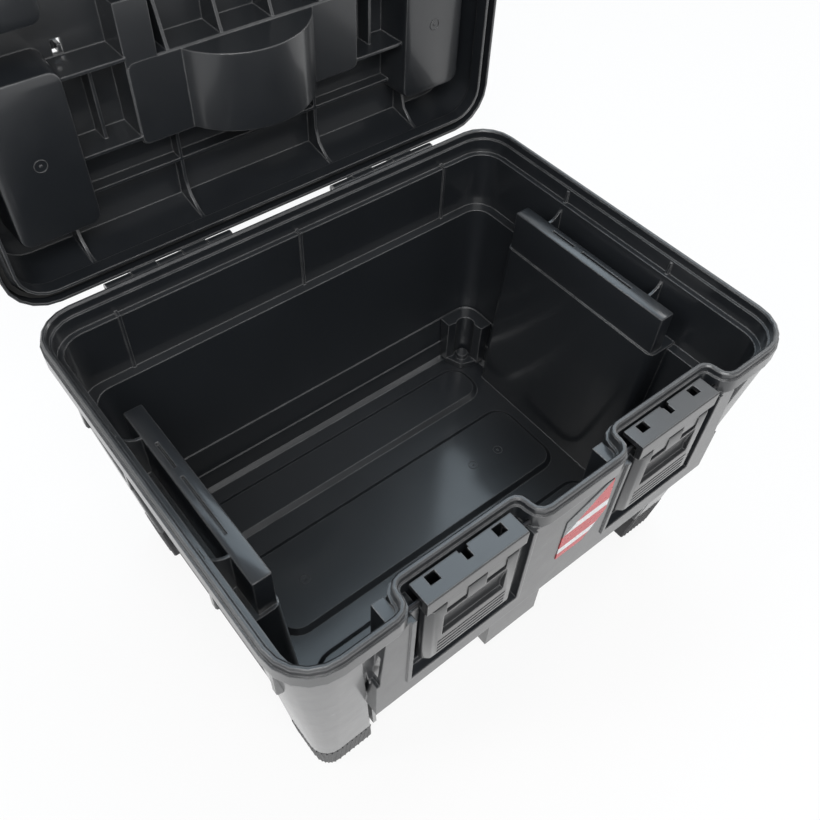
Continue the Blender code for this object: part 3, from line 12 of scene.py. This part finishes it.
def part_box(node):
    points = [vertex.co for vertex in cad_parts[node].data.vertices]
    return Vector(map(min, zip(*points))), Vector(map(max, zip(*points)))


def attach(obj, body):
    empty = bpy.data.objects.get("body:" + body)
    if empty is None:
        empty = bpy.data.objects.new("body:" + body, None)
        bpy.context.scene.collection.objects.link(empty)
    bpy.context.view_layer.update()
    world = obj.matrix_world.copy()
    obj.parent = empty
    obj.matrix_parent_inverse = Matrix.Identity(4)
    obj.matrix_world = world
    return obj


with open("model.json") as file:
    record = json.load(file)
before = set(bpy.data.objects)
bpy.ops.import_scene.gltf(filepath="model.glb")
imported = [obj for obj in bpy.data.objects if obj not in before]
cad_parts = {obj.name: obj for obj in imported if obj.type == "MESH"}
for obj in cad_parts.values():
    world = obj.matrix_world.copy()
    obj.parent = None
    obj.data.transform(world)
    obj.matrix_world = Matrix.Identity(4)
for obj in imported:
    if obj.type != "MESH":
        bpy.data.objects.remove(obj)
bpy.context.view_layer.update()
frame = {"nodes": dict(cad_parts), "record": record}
nodes = frame["nodes"]

MM = 0.001

# Where the solids are: the tub gives the rim and a hinge pin gives the middle line.
TUB_LOW, TUB_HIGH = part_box("tub")
PIN_LOW, PIN_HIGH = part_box("hinge_pin_left")
HINGE_Y = (PIN_LOW.y + PIN_HIGH.y) / 2
HINGE_Z = (PIN_LOW.z + PIN_HIGH.z) / 2
HINGE_BEHIND_MIDDLE = 176.5 * MM
MID_Y = HINGE_Y - HINGE_BEHIND_MIDDLE   # middle of the tub, front to back
RIM_Z = TUB_HIGH.z

# Camera of the photograph.
IMAGE_PX = 820
FOCAL_PX = 850.3
SENSOR = 36.0
CAMERA_AZIMUTH = -41.42    # degrees, as the two below
CAMERA_ELEVATION = 50.64
CAMERA_ROLL = 3.38
CAMERA_PLACE = Vector((-290.3, -324.8, 695.9)) * MM   # from the tub's middle, on the ground


BEVEL_SAMPLES = 4
EDGE_COSINES = (0.99, 0.93)     # of the angle that bevelling turns the normal: none and all of an edge


class Tree:
    """Small helper that makes and links the nodes of one material."""

    def __init__(self, name):
        self.material = bpy.data.materials.new(name)
        self.material.use_nodes = True
        self.nodes = self.material.node_tree.nodes
        self.links = self.material.node_tree.links
        self.shader = self.nodes["Principled BSDF"]
        self.place = self.add("ShaderNodeTexCoord").outputs["Object"]

    def add(self, kind, **values):
        node = self.nodes.new(kind)
        for key, value in values.items():
            setattr(node, key, value)
        return node

    def join(self, source, target):
        self.links.new(source, target)

    def noise(self, scale, detail=3.0, rough=0.55, stretch=None):
        place = self.place
        if stretch:
            mapping = self.add("ShaderNodeMapping")
            mapping.inputs["Scale"].default_value = stretch
            self.join(place, mapping.inputs["Vector"])
            place = mapping.outputs["Vector"]
        node = self.add("ShaderNodeTexNoise")
        node.inputs["Scale"].default_value = scale
        node.inputs["Detail"].default_value = detail
        node.inputs["Roughness"].default_value = rough
        self.join(place, node.inputs["Vector"])
        return node.outputs["Fac"]

    def ramp(self, value, low, high, start=0.0, end=1.0):
        node = self.add("ShaderNodeMapRange")
        node.inputs["From Min"].default_value = start
        node.inputs["From Max"].default_value = end
        node.inputs["To Min"].default_value = low
        node.inputs["To Max"].default_value = high
        self.join(value, node.inputs["Value"])
        return node.outputs["Result"]

    def maths(self, operation, a, b):
        node = self.add("ShaderNodeMath", operation=operation)
        for socket, value in zip(node.inputs, (a, b)):
            if isinstance(value, (int, float)):
                socket.default_value = value
            else:
                self.join(value, socket)
        return node.outputs["Value"]

    def mix(self, factor, a, b):
        node = self.add("ShaderNodeMix", data_type="RGBA")
        for key, value in (("Factor", factor), ("A", a), ("B", b)):
            socket = node.inputs[key]
            if isinstance(value, tuple):
                socket.default_value = (*value, 1.0)
            elif isinstance(value, (int, float)):
                socket.default_value = value
            else:
                self.join(value, socket)
        return next(o for o in node.outputs if o.type == "RGBA")

    def edge_mask(self, radius):
        """1 on rounded-over edges and 0 on flats, from the bevelled normal."""
        bevel = self.add("ShaderNodeBevel", samples=BEVEL_SAMPLES)
        bevel.inputs["Radius"].default_value = radius
        geometry = self.add("ShaderNodeNewGeometry")
        dot = self.add("ShaderNodeVectorMath", operation="DOT_PRODUCT")
        self.join(bevel.outputs["Normal"], dot.inputs[0])
        self.join(geometry.outputs["Normal"], dot.inputs[1])
        return bevel.outputs["Normal"], self.ramp(dot.outputs["Value"], 0.0, 1.0, *EDGE_COSINES)

    def bump(self, height, strength, distance, normal=None):
        node = self.add("ShaderNodeBump")
        node.inputs["Strength"].default_value = strength
        node.inputs["Distance"].default_value = distance
        self.join(height, node.inputs["Height"])
        if normal is not None:
            self.join(normal, node.inputs["Normal"])
        return node.outputs["Normal"]


# Finishes. A noise has its scale, detail, roughness and stretch, a span is where a noise
# starts and stops to count, and a bump has its strength and depth.
NOISE_SPAN = (0.3, 0.7)
MOTTLE_NOISE = (9.0, 2.0)
MOTTLE_TONES = (0.92, 1.08)
SPARK_NOISE = (2600.0, 2.0, 0.6)
CLOUD_NOISE = (55.0, 4.0, 0.6)
HAIR_NOISE = (60.0, 6.0, 0.75, (1.0, 14.0, 1.0))
HAIR_SPAN = (0.62, 0.70)
HAIR_HEIGHT = 0.3         # of a scratch, as a share of its change in roughness
PAINTED_EDGE_HIGHLIGHT_LIFT = 0.15        # how much paler the painted highlight on rounded edges is
PAINTED_EDGE_HIGHLIGHT_SHARE = (0.35, 0.85)
PAINTED_EDGE_HIGHLIGHT_SPAN = (0.35, 0.65)
SMOOTHER, ROUGHER = 0.02, 0.03
GRAIN_BUMP = (0.25, 0.0002)
GLOSS_BUMP = (0.08, 0.0002)
GLOSS_ROUGHNESS = 0.12    # of the thin shiny skin that the mould leaves


def moulded_plastic(name, colour, roughness, grain, edge_radius, scratches=0.0, sheen=0.6, gloss=0.6):
    """Black moulded plastic: fine spark grain, slow mottling, faint scratches and rounded edges with a
    patchy painted highlight.
    """
    t = Tree(name)
    edge_normal, edge = t.edge_mask(edge_radius)
    mottle = t.noise(*MOTTLE_NOISE)
    fine = t.noise(*SPARK_NOISE)
    cloud = t.noise(*CLOUD_NOISE)
    dark, light = (tuple(c * tone for c in colour) for tone in MOTTLE_TONES)
    # Painted highlight: rounded edges are made paler, in patches set by the cloud noise.
    painted_edge_highlight = tuple(c + PAINTED_EDGE_HIGHLIGHT_LIFT for c in colour)
    body = t.mix(t.ramp(mottle, 0.0, 1.0, *NOISE_SPAN), dark, light)
    base = t.mix(t.maths("MULTIPLY", edge, t.ramp(cloud, *PAINTED_EDGE_HIGHLIGHT_SHARE, *PAINTED_EDGE_HIGHLIGHT_SPAN)), body, painted_edge_highlight)
    rough = t.ramp(cloud, roughness - SMOOTHER, roughness + ROUGHER, *NOISE_SPAN)
    height = t.maths("MULTIPLY", fine, grain)
    if scratches:
        line = t.ramp(t.noise(*HAIR_NOISE), 0.0, 1.0, *HAIR_SPAN)
        rough = t.maths("SUBTRACT", rough, t.maths("MULTIPLY", line, scratches))
        height = t.maths("ADD", height, t.maths("MULTIPLY", line, scratches * HAIR_HEIGHT))
    t.join(base, t.shader.inputs["Base Color"])
    t.join(rough, t.shader.inputs["Roughness"])
    t.join(t.bump(height, *GRAIN_BUMP, edge_normal), t.shader.inputs["Normal"])
    t.shader.inputs["Specular IOR Level"].default_value = sheen
    t.shader.inputs["Coat Weight"].default_value = gloss
    t.shader.inputs["Coat Roughness"].default_value = GLOSS_ROUGHNESS
    t.join(t.bump(height, *GLOSS_BUMP, edge_normal), t.shader.inputs["Coat Normal"])
    return t.material


STEEL_LINES = (900.0, 3.0, 0.6, (0.03, 1.0, 1.0))
STEEL_STAIN = (40.0, 3.0)
STAIN_SPAN = (0.35, 0.7)
STEEL_SPREAD = 0.1        # of the roughness, either way
STEEL_BUMP = (0.2, 0.0001)


def drawn_steel(name, dark, light, roughness):
    """Steel rod with fine lines along its length and slow stains."""
    t = Tree(name)
    lines = t.noise(*STEEL_LINES)
    stain = t.noise(*STEEL_STAIN)
    rough = t.ramp(lines, roughness - STEEL_SPREAD, roughness + STEEL_SPREAD, *NOISE_SPAN)
    t.join(t.mix(t.ramp(stain, 0.0, 1.0, *STAIN_SPAN), dark, light), t.shader.inputs["Base Color"])
    t.join(rough, t.shader.inputs["Roughness"])
    t.join(t.bump(lines, *STEEL_BUMP), t.shader.inputs["Normal"])
    t.shader.inputs["Metallic"].default_value = 1.0
    return t.material


RUBBER_DARK = (0.010, 0.010, 0.010)
RUBBER_DUSTY = (0.022, 0.022, 0.021)
RUBBER_ROUGH = (0.68, 0.86)
RUBBER_DUST = (120.0, 4.0, 0.6)
DUST_SPAN = (0.35, 0.75)
RUBBER_GRAIN = (1500.0, 2.0)
RUBBER_BUMP = (0.3, 0.0002)


def seal_rubber(name):
    """Soft black strip with a dull, slightly dusty skin."""
    t = Tree(name)
    dust = t.noise(*RUBBER_DUST)
    grain = t.noise(*RUBBER_GRAIN)
    skin = t.mix(t.ramp(dust, 0.0, 1.0, *DUST_SPAN), RUBBER_DARK, RUBBER_DUSTY)
    t.join(skin, t.shader.inputs["Base Color"])
    t.join(t.ramp(dust, *RUBBER_ROUGH, *NOISE_SPAN), t.shader.inputs["Roughness"])
    t.join(t.bump(grain, *RUBBER_BUMP), t.shader.inputs["Normal"])
    return t.material


LABEL_RED = (0.55, 0.035, 0.045)
LABEL_WHITE = (0.78, 0.78, 0.79)
LABEL_GREY = (0.16, 0.165, 0.17)
LABEL_BANDS_Z = ((179.0, 186.0), (202.0, 210.0))     # white bands across the red field
LABEL_GREY_EDGE = ((-9.5, 200.0), (32.0, 236.0))     # the grey corner lies above this line, in X and Z
FILM_WEAR = (180.0, 4.0, 0.6)
FILM_WORN = 0.25          # most that wear greys the print
WEAR_SPAN = (0.45, 0.75)
FILM_ROUGH = (0.22, 0.38)
FILM_GRAIN = (1200.0, 2.0)
FILM_BUMP = (0.1, 0.0001)


def banded_film(name):
    """Printed film: a red field with plain white bands and a grey upper corner."""
    t = Tree(name)
    parts = t.add("ShaderNodeSeparateXYZ")
    t.join(t.place, parts.inputs["Vector"])
    x, z = parts.outputs["X"], parts.outputs["Z"]
    colour = LABEL_RED
    for low, high in LABEL_BANDS_Z:
        above = t.maths("GREATER_THAN", z, low * MM)
        below = t.maths("LESS_THAN", z, high * MM)
        colour = t.mix(t.maths("MULTIPLY", above, below), colour, LABEL_WHITE)
    (x0, z0), (x1, z1) = LABEL_GREY_EDGE
    slope = (z1 - z0) / (x1 - x0)
    line = t.maths("ADD", t.maths("MULTIPLY", x, slope), (z0 - slope * x0) * MM)
    colour = t.mix(t.maths("GREATER_THAN", z, line), colour, LABEL_GREY)
    wear = t.noise(*FILM_WEAR)
    grain = t.noise(*FILM_GRAIN)
    worn = t.mix(t.ramp(wear, 0.0, FILM_WORN, *WEAR_SPAN), colour, LABEL_GREY)
    t.join(worn, t.shader.inputs["Base Color"])
    t.join(t.ramp(wear, *FILM_ROUGH, *NOISE_SPAN), t.shader.inputs["Roughness"])
    t.join(t.bump(grain, *FILM_BUMP), t.shader.inputs["Normal"])
    return t.material


MATERIALS = {
    "black_plastic": moulded_plastic(
        "black_plastic", colour=(0.013, 0.015, 0.018), roughness=0.38, grain=0.6,
        edge_radius=1.5 * MM, scratches=0.05),
    "latch_plastic": moulded_plastic(
        "latch_plastic", colour=(0.016, 0.017, 0.019), roughness=0.38, grain=0.5,
        edge_radius=1.1 * MM, scratches=0.03),
    "foot_plastic": moulded_plastic(
        "foot_plastic", colour=(0.018, 0.018, 0.020), roughness=0.50, grain=1.0,
        edge_radius=0.7 * MM, sheen=0.35, gloss=0.12),
    "seal_rubber": seal_rubber("seal_rubber"),
    "pin_steel": drawn_steel(
        "pin_steel", dark=(0.50, 0.50, 0.51), light=(0.62, 0.62, 0.63), roughness=0.32),
    "blackened_pin": drawn_steel(
        "blackened_pin", dark=(0.030, 0.030, 0.032), light=(0.060, 0.060, 0.064), roughness=0.40),
    "label_film": banded_film("label_film"),
}


def dress(obj, slot):
    obj.data.materials.clear()
    obj.data.materials.append(MATERIALS[slot])


SMOOTH_ANGLE = math.radians(32.0)
WELD_GAP = 0.00001


def soften(obj):
    """Shade a solid smooth across its fillets and sharp at its corners."""
    for polygon in obj.data.polygons:
        polygon.use_smooth = True
    if "custom_normal" in obj.data.attributes:
        obj.data.attributes.remove(obj.data.attributes["custom_normal"])
    weld = obj.modifiers.new("Weld", "WELD")
    weld.merge_threshold = WELD_GAP
    split = obj.modifiers.new("Edges", "EDGE_SPLIT")
    split.split_angle = SMOOTH_ANGLE


for part in frame["record"]["subparts"]:
    dress(nodes[part["node"]], part["material_slot"])
    soften(nodes[part["node"]])


# Fine moulded detail that the solids leave out. Each piece rides on the body that carries it.
def add_piece(name, bm, body, slot):
    bmesh.ops.recalc_face_normals(bm, faces=bm.faces[:])
    mesh = bpy.data.meshes.new(name)
    bm.to_mesh(mesh)
    bm.free()
    obj = bpy.data.objects.new(name, mesh)
    bpy.context.scene.collection.objects.link(obj)
    dress(obj, slot)
    soften(obj)
    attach(obj, body)


def closed_prism(bm, low_ring, high_ring):
    """Closed solid between two rings of the same number of points."""
    low = [bm.verts.new(p) for p in low_ring]
    high = [bm.verts.new(p) for p in high_ring]
    count = len(low)
    bm.faces.new(low[::-1])
    bm.faces.new(high)
    for i in range(count):
        j = (i + 1) % count
        bm.faces.new((low[i], low[j], high[j], high[i]))


def skin_of(node):
    """Surface of a solid, to find where a ray meets it."""
    mesh = nodes[node].data
    points = [v.co.copy() for v in mesh.vertices]
    return BVHTree.FromPolygons(points, [tuple(p.vertices) for p in mesh.polygons])


FAR_OUT = 60.0 * MM       # how far out the rays towards a wall start
FLUTE_PITCH = 4.4 * MM
FLUTE_HALF = 1.25 * MM
FLUTE_OUT = 0.7 * MM
FLUTE_SUNK = 0.4 * MM
FLUTE_Z0 = 1.5 * MM
FLUTE_TOP_GAP = 3.0 * MM
FLUTE_CORNER = 14.0 * MM                      # radius of the corner that ribs go round
FLUTE_TURNS = (18.0, 36.0, 54.0, 72.0)        # degrees of the ribs on that corner


def foot_flutes(end, side):
    """Upright ribs round the two outer faces and the corner of one foot."""
    node = "corner_foot_%s_%s" % (end, side)
    sx = -1 if side == "left" else 1
    sy = -1 if end == "front" else 1
    low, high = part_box(node)
    skin = skin_of(node)
    out_x = high.x if sx > 0 else low.x
    out_y = high.y if sy > 0 else low.y
    in_x = low.x if sx > 0 else high.x
    in_y = low.y if sy > 0 else high.y
    centre = Vector((out_x - sx * FLUTE_CORNER, out_y - sy * FLUTE_CORNER, 0.0))
    stations = []
    for k in range(int((abs(centre.x - in_x) - FLUTE_PITCH) / FLUTE_PITCH) + 1):
        stations.append((Vector((centre.x - sx * k * FLUTE_PITCH, out_y, 0.0)), Vector((0.0, sy, 0.0))))
    for k in range(int((abs(centre.y - in_y) - FLUTE_PITCH) / FLUTE_PITCH) + 1):
        stations.append((Vector((out_x, centre.y - sy * k * FLUTE_PITCH, 0.0)), Vector((sx, 0.0, 0.0))))
    for degrees in FLUTE_TURNS:
        angle = math.radians(degrees)
        stations.append((centre, Vector((sx * math.cos(angle), sy * math.sin(angle), 0.0))))
    bm = bmesh.new()
    for place, outward in stations:
        across = Vector((-outward.y, outward.x, 0.0))
        rings = []
        for z in (FLUTE_Z0, high.z - FLUTE_TOP_GAP):
            start = Vector((place.x, place.y, z)) + outward * FAR_OUT
            hit = skin.ray_cast(start, -outward)[0]
            if hit is None:
                break
            foot = hit - outward * FLUTE_SUNK
            edge = across * FLUTE_HALF
            rings.append((foot - edge, foot + edge, hit + outward * FLUTE_OUT))
        if len(rings) == 2:
            closed_prism(bm, rings[0], rings[1])
    add_piece("foot_flutes_%s_%s" % (end, side), bm, "tub", "foot_plastic")


for end in ("front", "back"):
    for side in ("left", "right"):
        foot_flutes(end, side)


RING_R = 5.0 * MM
RING_WIDE = 1.0 * MM
RING_HIGH = 0.45 * MM
RING_SUNK = 0.3 * MM
RING_SIDES = 32
RING_TOP = (0.3, 0.7)     # shares of the ring's width between which its top lies
NUB_R = 1.5 * MM
NUB_TAPER = 0.7


def circle(centre, u, v, radius):
    turns = (2 * math.pi * k / RING_SIDES for k in range(RING_SIDES))
    return [centre + u * (radius * math.cos(a)) + v * (radius * math.sin(a)) for a in turns]


def mould_ring(bm, centre, normal):
    """Raised ring with a nub in its middle, as left by a moulding gate."""
    u = normal.orthogonal().normalized()
    v = normal.cross(u)
    base = centre - normal * RING_SUNK
    top = centre + normal * RING_HIGH
    corners = ((base, RING_R - RING_WIDE), (base, RING_R),
               (top, RING_R - RING_WIDE * RING_TOP[0]), (top, RING_R - RING_WIDE * RING_TOP[1]))
    made = [[bm.verts.new(p) for p in circle(middle, u, v, radius)] for middle, radius in corners]
    for a, b in zip(made, made[1:] + made[:1]):
        for i in range(RING_SIDES):
            j = (i + 1) % RING_SIDES
            bm.faces.new((a[i], a[j], b[j], b[i]))
    closed_prism(bm, circle(base, u, v, NUB_R), circle(top, u, v, NUB_R * NUB_TAPER))


FLOOR_RINGS = ((-117.0, -2.0), (84.0, 1.0), (116.0, 0.0))     # X and Y from the tub's middle
RING_FROM_Z = 150.0 * MM      # where rays towards the floor start, above it


def floor_rings():
    """Mould rings on the floor of the tub."""
    skin = skin_of("tub")
    up = Vector((0.0, 0.0, 1.0))
    bm = bmesh.new()
    for x, y in FLOOR_RINGS:
        hit = skin.ray_cast(Vector((x * MM, MID_Y + y * MM, RING_FROM_Z)), -up)[0]
        mould_ring(bm, hit, up)
    add_piece("floor_mould_rings", bm, "tub", "black_plastic")


floor_rings()


POCKET_RING_X = 169.5 * MM
POCKET_RING_Z = (103.5 * MM, 249.5 * MM)      # above the hinge, on the open lid


def pocket_rings():
    """A mould ring under each pocket of the lid, which faces the front while the lid is open."""
    skin = skin_of("lid")
    front = Vector((0.0, -1.0, 0.0))
    bm = bmesh.new()
    for x in (-POCKET_RING_X, POCKET_RING_X):
        for z in POCKET_RING_Z:
            hit = skin.ray_cast(Vector((x, MID_Y, HINGE_Z + z)), -front)[0]
            mould_ring(bm, hit, front)
    add_piece("pocket_mould_rings", bm, "lid", "black_plastic")


pocket_rings()


SIDE_RIB_Y = (-145.0, -78.0, 31.0, 98.0)      # from the tub's middle
SIDE_RIB_HALF = 2.0 * MM
SIDE_RIB_SUNK = 0.8 * MM
SIDE_RIB_UNDER_RIM = 16.5 * MM
SIDE_RIB_TALL = 31.0 * MM
SIDE_RIB_ROUND = 3.5 * MM
ROUND_MIDDLE = 0.3        # how far the middle of a rounded corner lies in from its sides, as a share of it
SIDE_RIB_INSIDE_FLANGE = 1.5 * MM


def side_ribs(side):
    """Short upright ribs under the flange of one side wall."""
    sx = -1 if side == "left" else 1
    skin = skin_of("tub")
    out_x = (TUB_HIGH.x if sx > 0 else TUB_LOW.x) - sx * SIDE_RIB_INSIDE_FLANGE
    top = RIM_Z - SIDE_RIB_UNDER_RIM
    low = top - SIDE_RIB_TALL
    inward = Vector((-sx, 0.0, 0.0))
    bm = bmesh.new()
    for from_middle in SIDE_RIB_Y:
        y = MID_Y + from_middle * MM
        outline = [(out_x, top), (out_x, low + SIDE_RIB_ROUND),
                   (out_x - sx * SIDE_RIB_ROUND * ROUND_MIDDLE, low + SIDE_RIB_ROUND * ROUND_MIDDLE),
                   (out_x - sx * SIDE_RIB_ROUND, low)]
        for z in (low, (low + top) / 2, top):
            start = Vector((out_x + sx * FAR_OUT, y, min(z, top - 2 * SIDE_RIB_SUNK)))
            hit = skin.ray_cast(start, inward)[0]
            outline.append((hit.x - sx * SIDE_RIB_SUNK, z))
        faces = [[(x, y + half, z) for x, z in outline] for half in (-SIDE_RIB_HALF, SIDE_RIB_HALF)]
        closed_prism(bm, *faces)
    add_piece("side_ribs_" + side, bm, "tub", "black_plastic")


side_ribs("left")
side_ribs("right")


# Studio: floor, light and camera.
FLOOR_HALF = 6.0
FLOOR_COLOUR = (0.93, 0.93, 0.93, 1.0)
FLOOR_ROUGHNESS = 0.8
FLOOR_WHITE = 0.86        # share of plain white in the floor as the camera sees it; the rest takes shadow
FLOOR_MIRRORED = 0.9      # the same share where the plastic mirrors the floor


def studio_floor():
    bm = bmesh.new()
    bmesh.ops.create_grid(bm, x_segments=1, y_segments=1, size=FLOOR_HALF)
    mesh = bpy.data.meshes.new("studio_floor")
    bm.to_mesh(mesh)
    bm.free()
    floor = bpy.data.objects.new("studio_floor", mesh)
    bpy.context.scene.collection.objects.link(floor)
    t = Tree("studio_floor")
    t.shader.inputs["Base Color"].default_value = FLOOR_COLOUR
    t.shader.inputs["Roughness"].default_value = FLOOR_ROUGHNESS
    glow = t.add("ShaderNodeEmission")
    glow.inputs["Strength"].default_value = 1.0
    path = t.add("ShaderNodeLightPath")
    seen = t.maths("MULTIPLY", path.outputs["Is Camera Ray"], FLOOR_WHITE)
    bounced = t.maths("MAXIMUM", path.outputs["Is Glossy Ray"], path.outputs["Is Transmission Ray"])
    mirrored = t.maths("MULTIPLY", bounced, FLOOR_MIRRORED)
    blend = t.add("ShaderNodeMixShader")
    t.join(t.maths("MAXIMUM", seen, mirrored), blend.inputs[0])
    t.join(t.shader.outputs["BSDF"], blend.inputs[1])
    t.join(glow.outputs["Emission"], blend.inputs[2])
    t.join(blend.outputs["Shader"], t.nodes["Material Output"].inputs["Surface"])
    mesh.materials.append(t.material)


WHITE = (1.0, 1.0, 1.0, 1.0)
LIGHT_AIM = Vector((0.0, 0.0, 0.2))


def area_light(name, place, size, power, tint=WHITE[:3]):
    data = bpy.data.lights.new(name, "AREA")
    data.shape = "RECTANGLE"
    data.size, data.size_y = size
    data.energy = power
    data.color = tint
    lamp = bpy.data.objects.new(name, data)
    lamp.location = place
    lamp.rotation_mode = "QUATERNION"
    lamp.rotation_quaternion = (LIGHT_AIM - Vector(place)).to_track_quat("-Z", "Y")
    bpy.context.scene.collection.objects.link(lamp)


WORLD_FILL = 0.25         # white room as it lights the object; mirrored, its walls are plain white
CEILING_FROM = 0.80       # upward part of the direction where the mirrored room starts to darken
CEILING_FULL = 0.95
CEILING_WHITE = 0.12      # and how white its ceiling is
KEY_PLACE = (-0.75, -1.25, 1.9)
KEY_SIZE = (1.5, 1.1)
KEY_POWER = 36.0
BACK_PLACE = (0.55, 0.95, 2.0)
BACK_SIZE = (2.0, 1.3)
BACK_POWER = 20.0
BACK_TINT = (0.70, 0.87, 1.0)
STRIP_RIGHT_PLACE = (1.6, 0.0, 1.3)
STRIP_LEFT_PLACE = (-1.6, 0.4, 1.3)
STRIP_SIZE = (0.25, 1.6)
STRIP_POWER = 7.0


def studio_light():
    world = bpy.data.worlds.new("studio")
    bpy.context.scene.world = world
    world.use_nodes = True
    nodes_of, links = world.node_tree.nodes, world.node_tree.links
    fill = nodes_of["Background"]
    fill.inputs["Color"].default_value = WHITE
    fill.inputs["Strength"].default_value = WORLD_FILL
    white = nodes_of.new("ShaderNodeBackground")
    white.inputs["Color"].default_value = WHITE
    place = nodes_of.new("ShaderNodeTexCoord")
    parts = nodes_of.new("ShaderNodeSeparateXYZ")
    links.new(place.outputs["Generated"], parts.inputs["Vector"])
    room = nodes_of.new("ShaderNodeMapRange")
    room.inputs["From Min"].default_value = CEILING_FROM
    room.inputs["From Max"].default_value = CEILING_FULL
    room.inputs["To Min"].default_value = 1.0
    room.inputs["To Max"].default_value = CEILING_WHITE
    links.new(parts.outputs["Z"], room.inputs["Value"])
    links.new(room.outputs["Result"], white.inputs["Strength"])
    path = nodes_of.new("ShaderNodeLightPath")
    either = nodes_of.new("ShaderNodeMath")
    either.operation = "MAXIMUM"
    links.new(path.outputs["Is Camera Ray"], either.inputs[0])
    links.new(path.outputs["Is Glossy Ray"], either.inputs[1])
    any_of = nodes_of.new("ShaderNodeMath")
    any_of.operation = "MAXIMUM"
    links.new(either.outputs["Value"], any_of.inputs[0])
    links.new(path.outputs["Is Transmission Ray"], any_of.inputs[1])
    blend = nodes_of.new("ShaderNodeMixShader")
    links.new(any_of.outputs["Value"], blend.inputs[0])
    links.new(fill.outputs["Background"], blend.inputs[1])
    links.new(white.outputs["Background"], blend.inputs[2])
    links.new(blend.outputs["Shader"], nodes_of["World Output"].inputs["Surface"])
    area_light("softbox_front", KEY_PLACE, KEY_SIZE, KEY_POWER)
    area_light("softbox_back", BACK_PLACE, BACK_SIZE, BACK_POWER, BACK_TINT)
    area_light("strip_right", STRIP_RIGHT_PLACE, STRIP_SIZE, STRIP_POWER)
    area_light("strip_left", STRIP_LEFT_PLACE, STRIP_SIZE, STRIP_POWER)


def photo_camera():
    data = bpy.data.cameras.new("photo_camera")
    data.sensor_width = SENSOR
    data.lens = FOCAL_PX / IMAGE_PX * SENSOR
    camera = bpy.data.objects.new("photo_camera", data)
    bpy.context.scene.collection.objects.link(camera)
    a, e, r = (math.radians(v) for v in (CAMERA_AZIMUTH, CAMERA_ELEVATION, CAMERA_ROLL))
    back = Vector((math.sin(a) * math.cos(e), -math.cos(a) * math.cos(e), math.sin(e)))
    right = (-back).cross(Vector((0.0, 0.0, 1.0))).normalized()
    up = right.cross(-back)
    turned_right = right * math.cos(r) + up * math.sin(r)
    turned_up = up * math.cos(r) - right * math.sin(r)
    turn = Matrix((turned_right, turned_up, back)).transposed()
    camera.matrix_world = Matrix.Translation(CAMERA_PLACE + Vector((0.0, MID_Y, 0.0))) @ turn.to_4x4()
    bpy.context.scene.camera = camera


studio_floor()
studio_light()
photo_camera()
bpy.context.scene.view_settings.view_transform = "Standard"
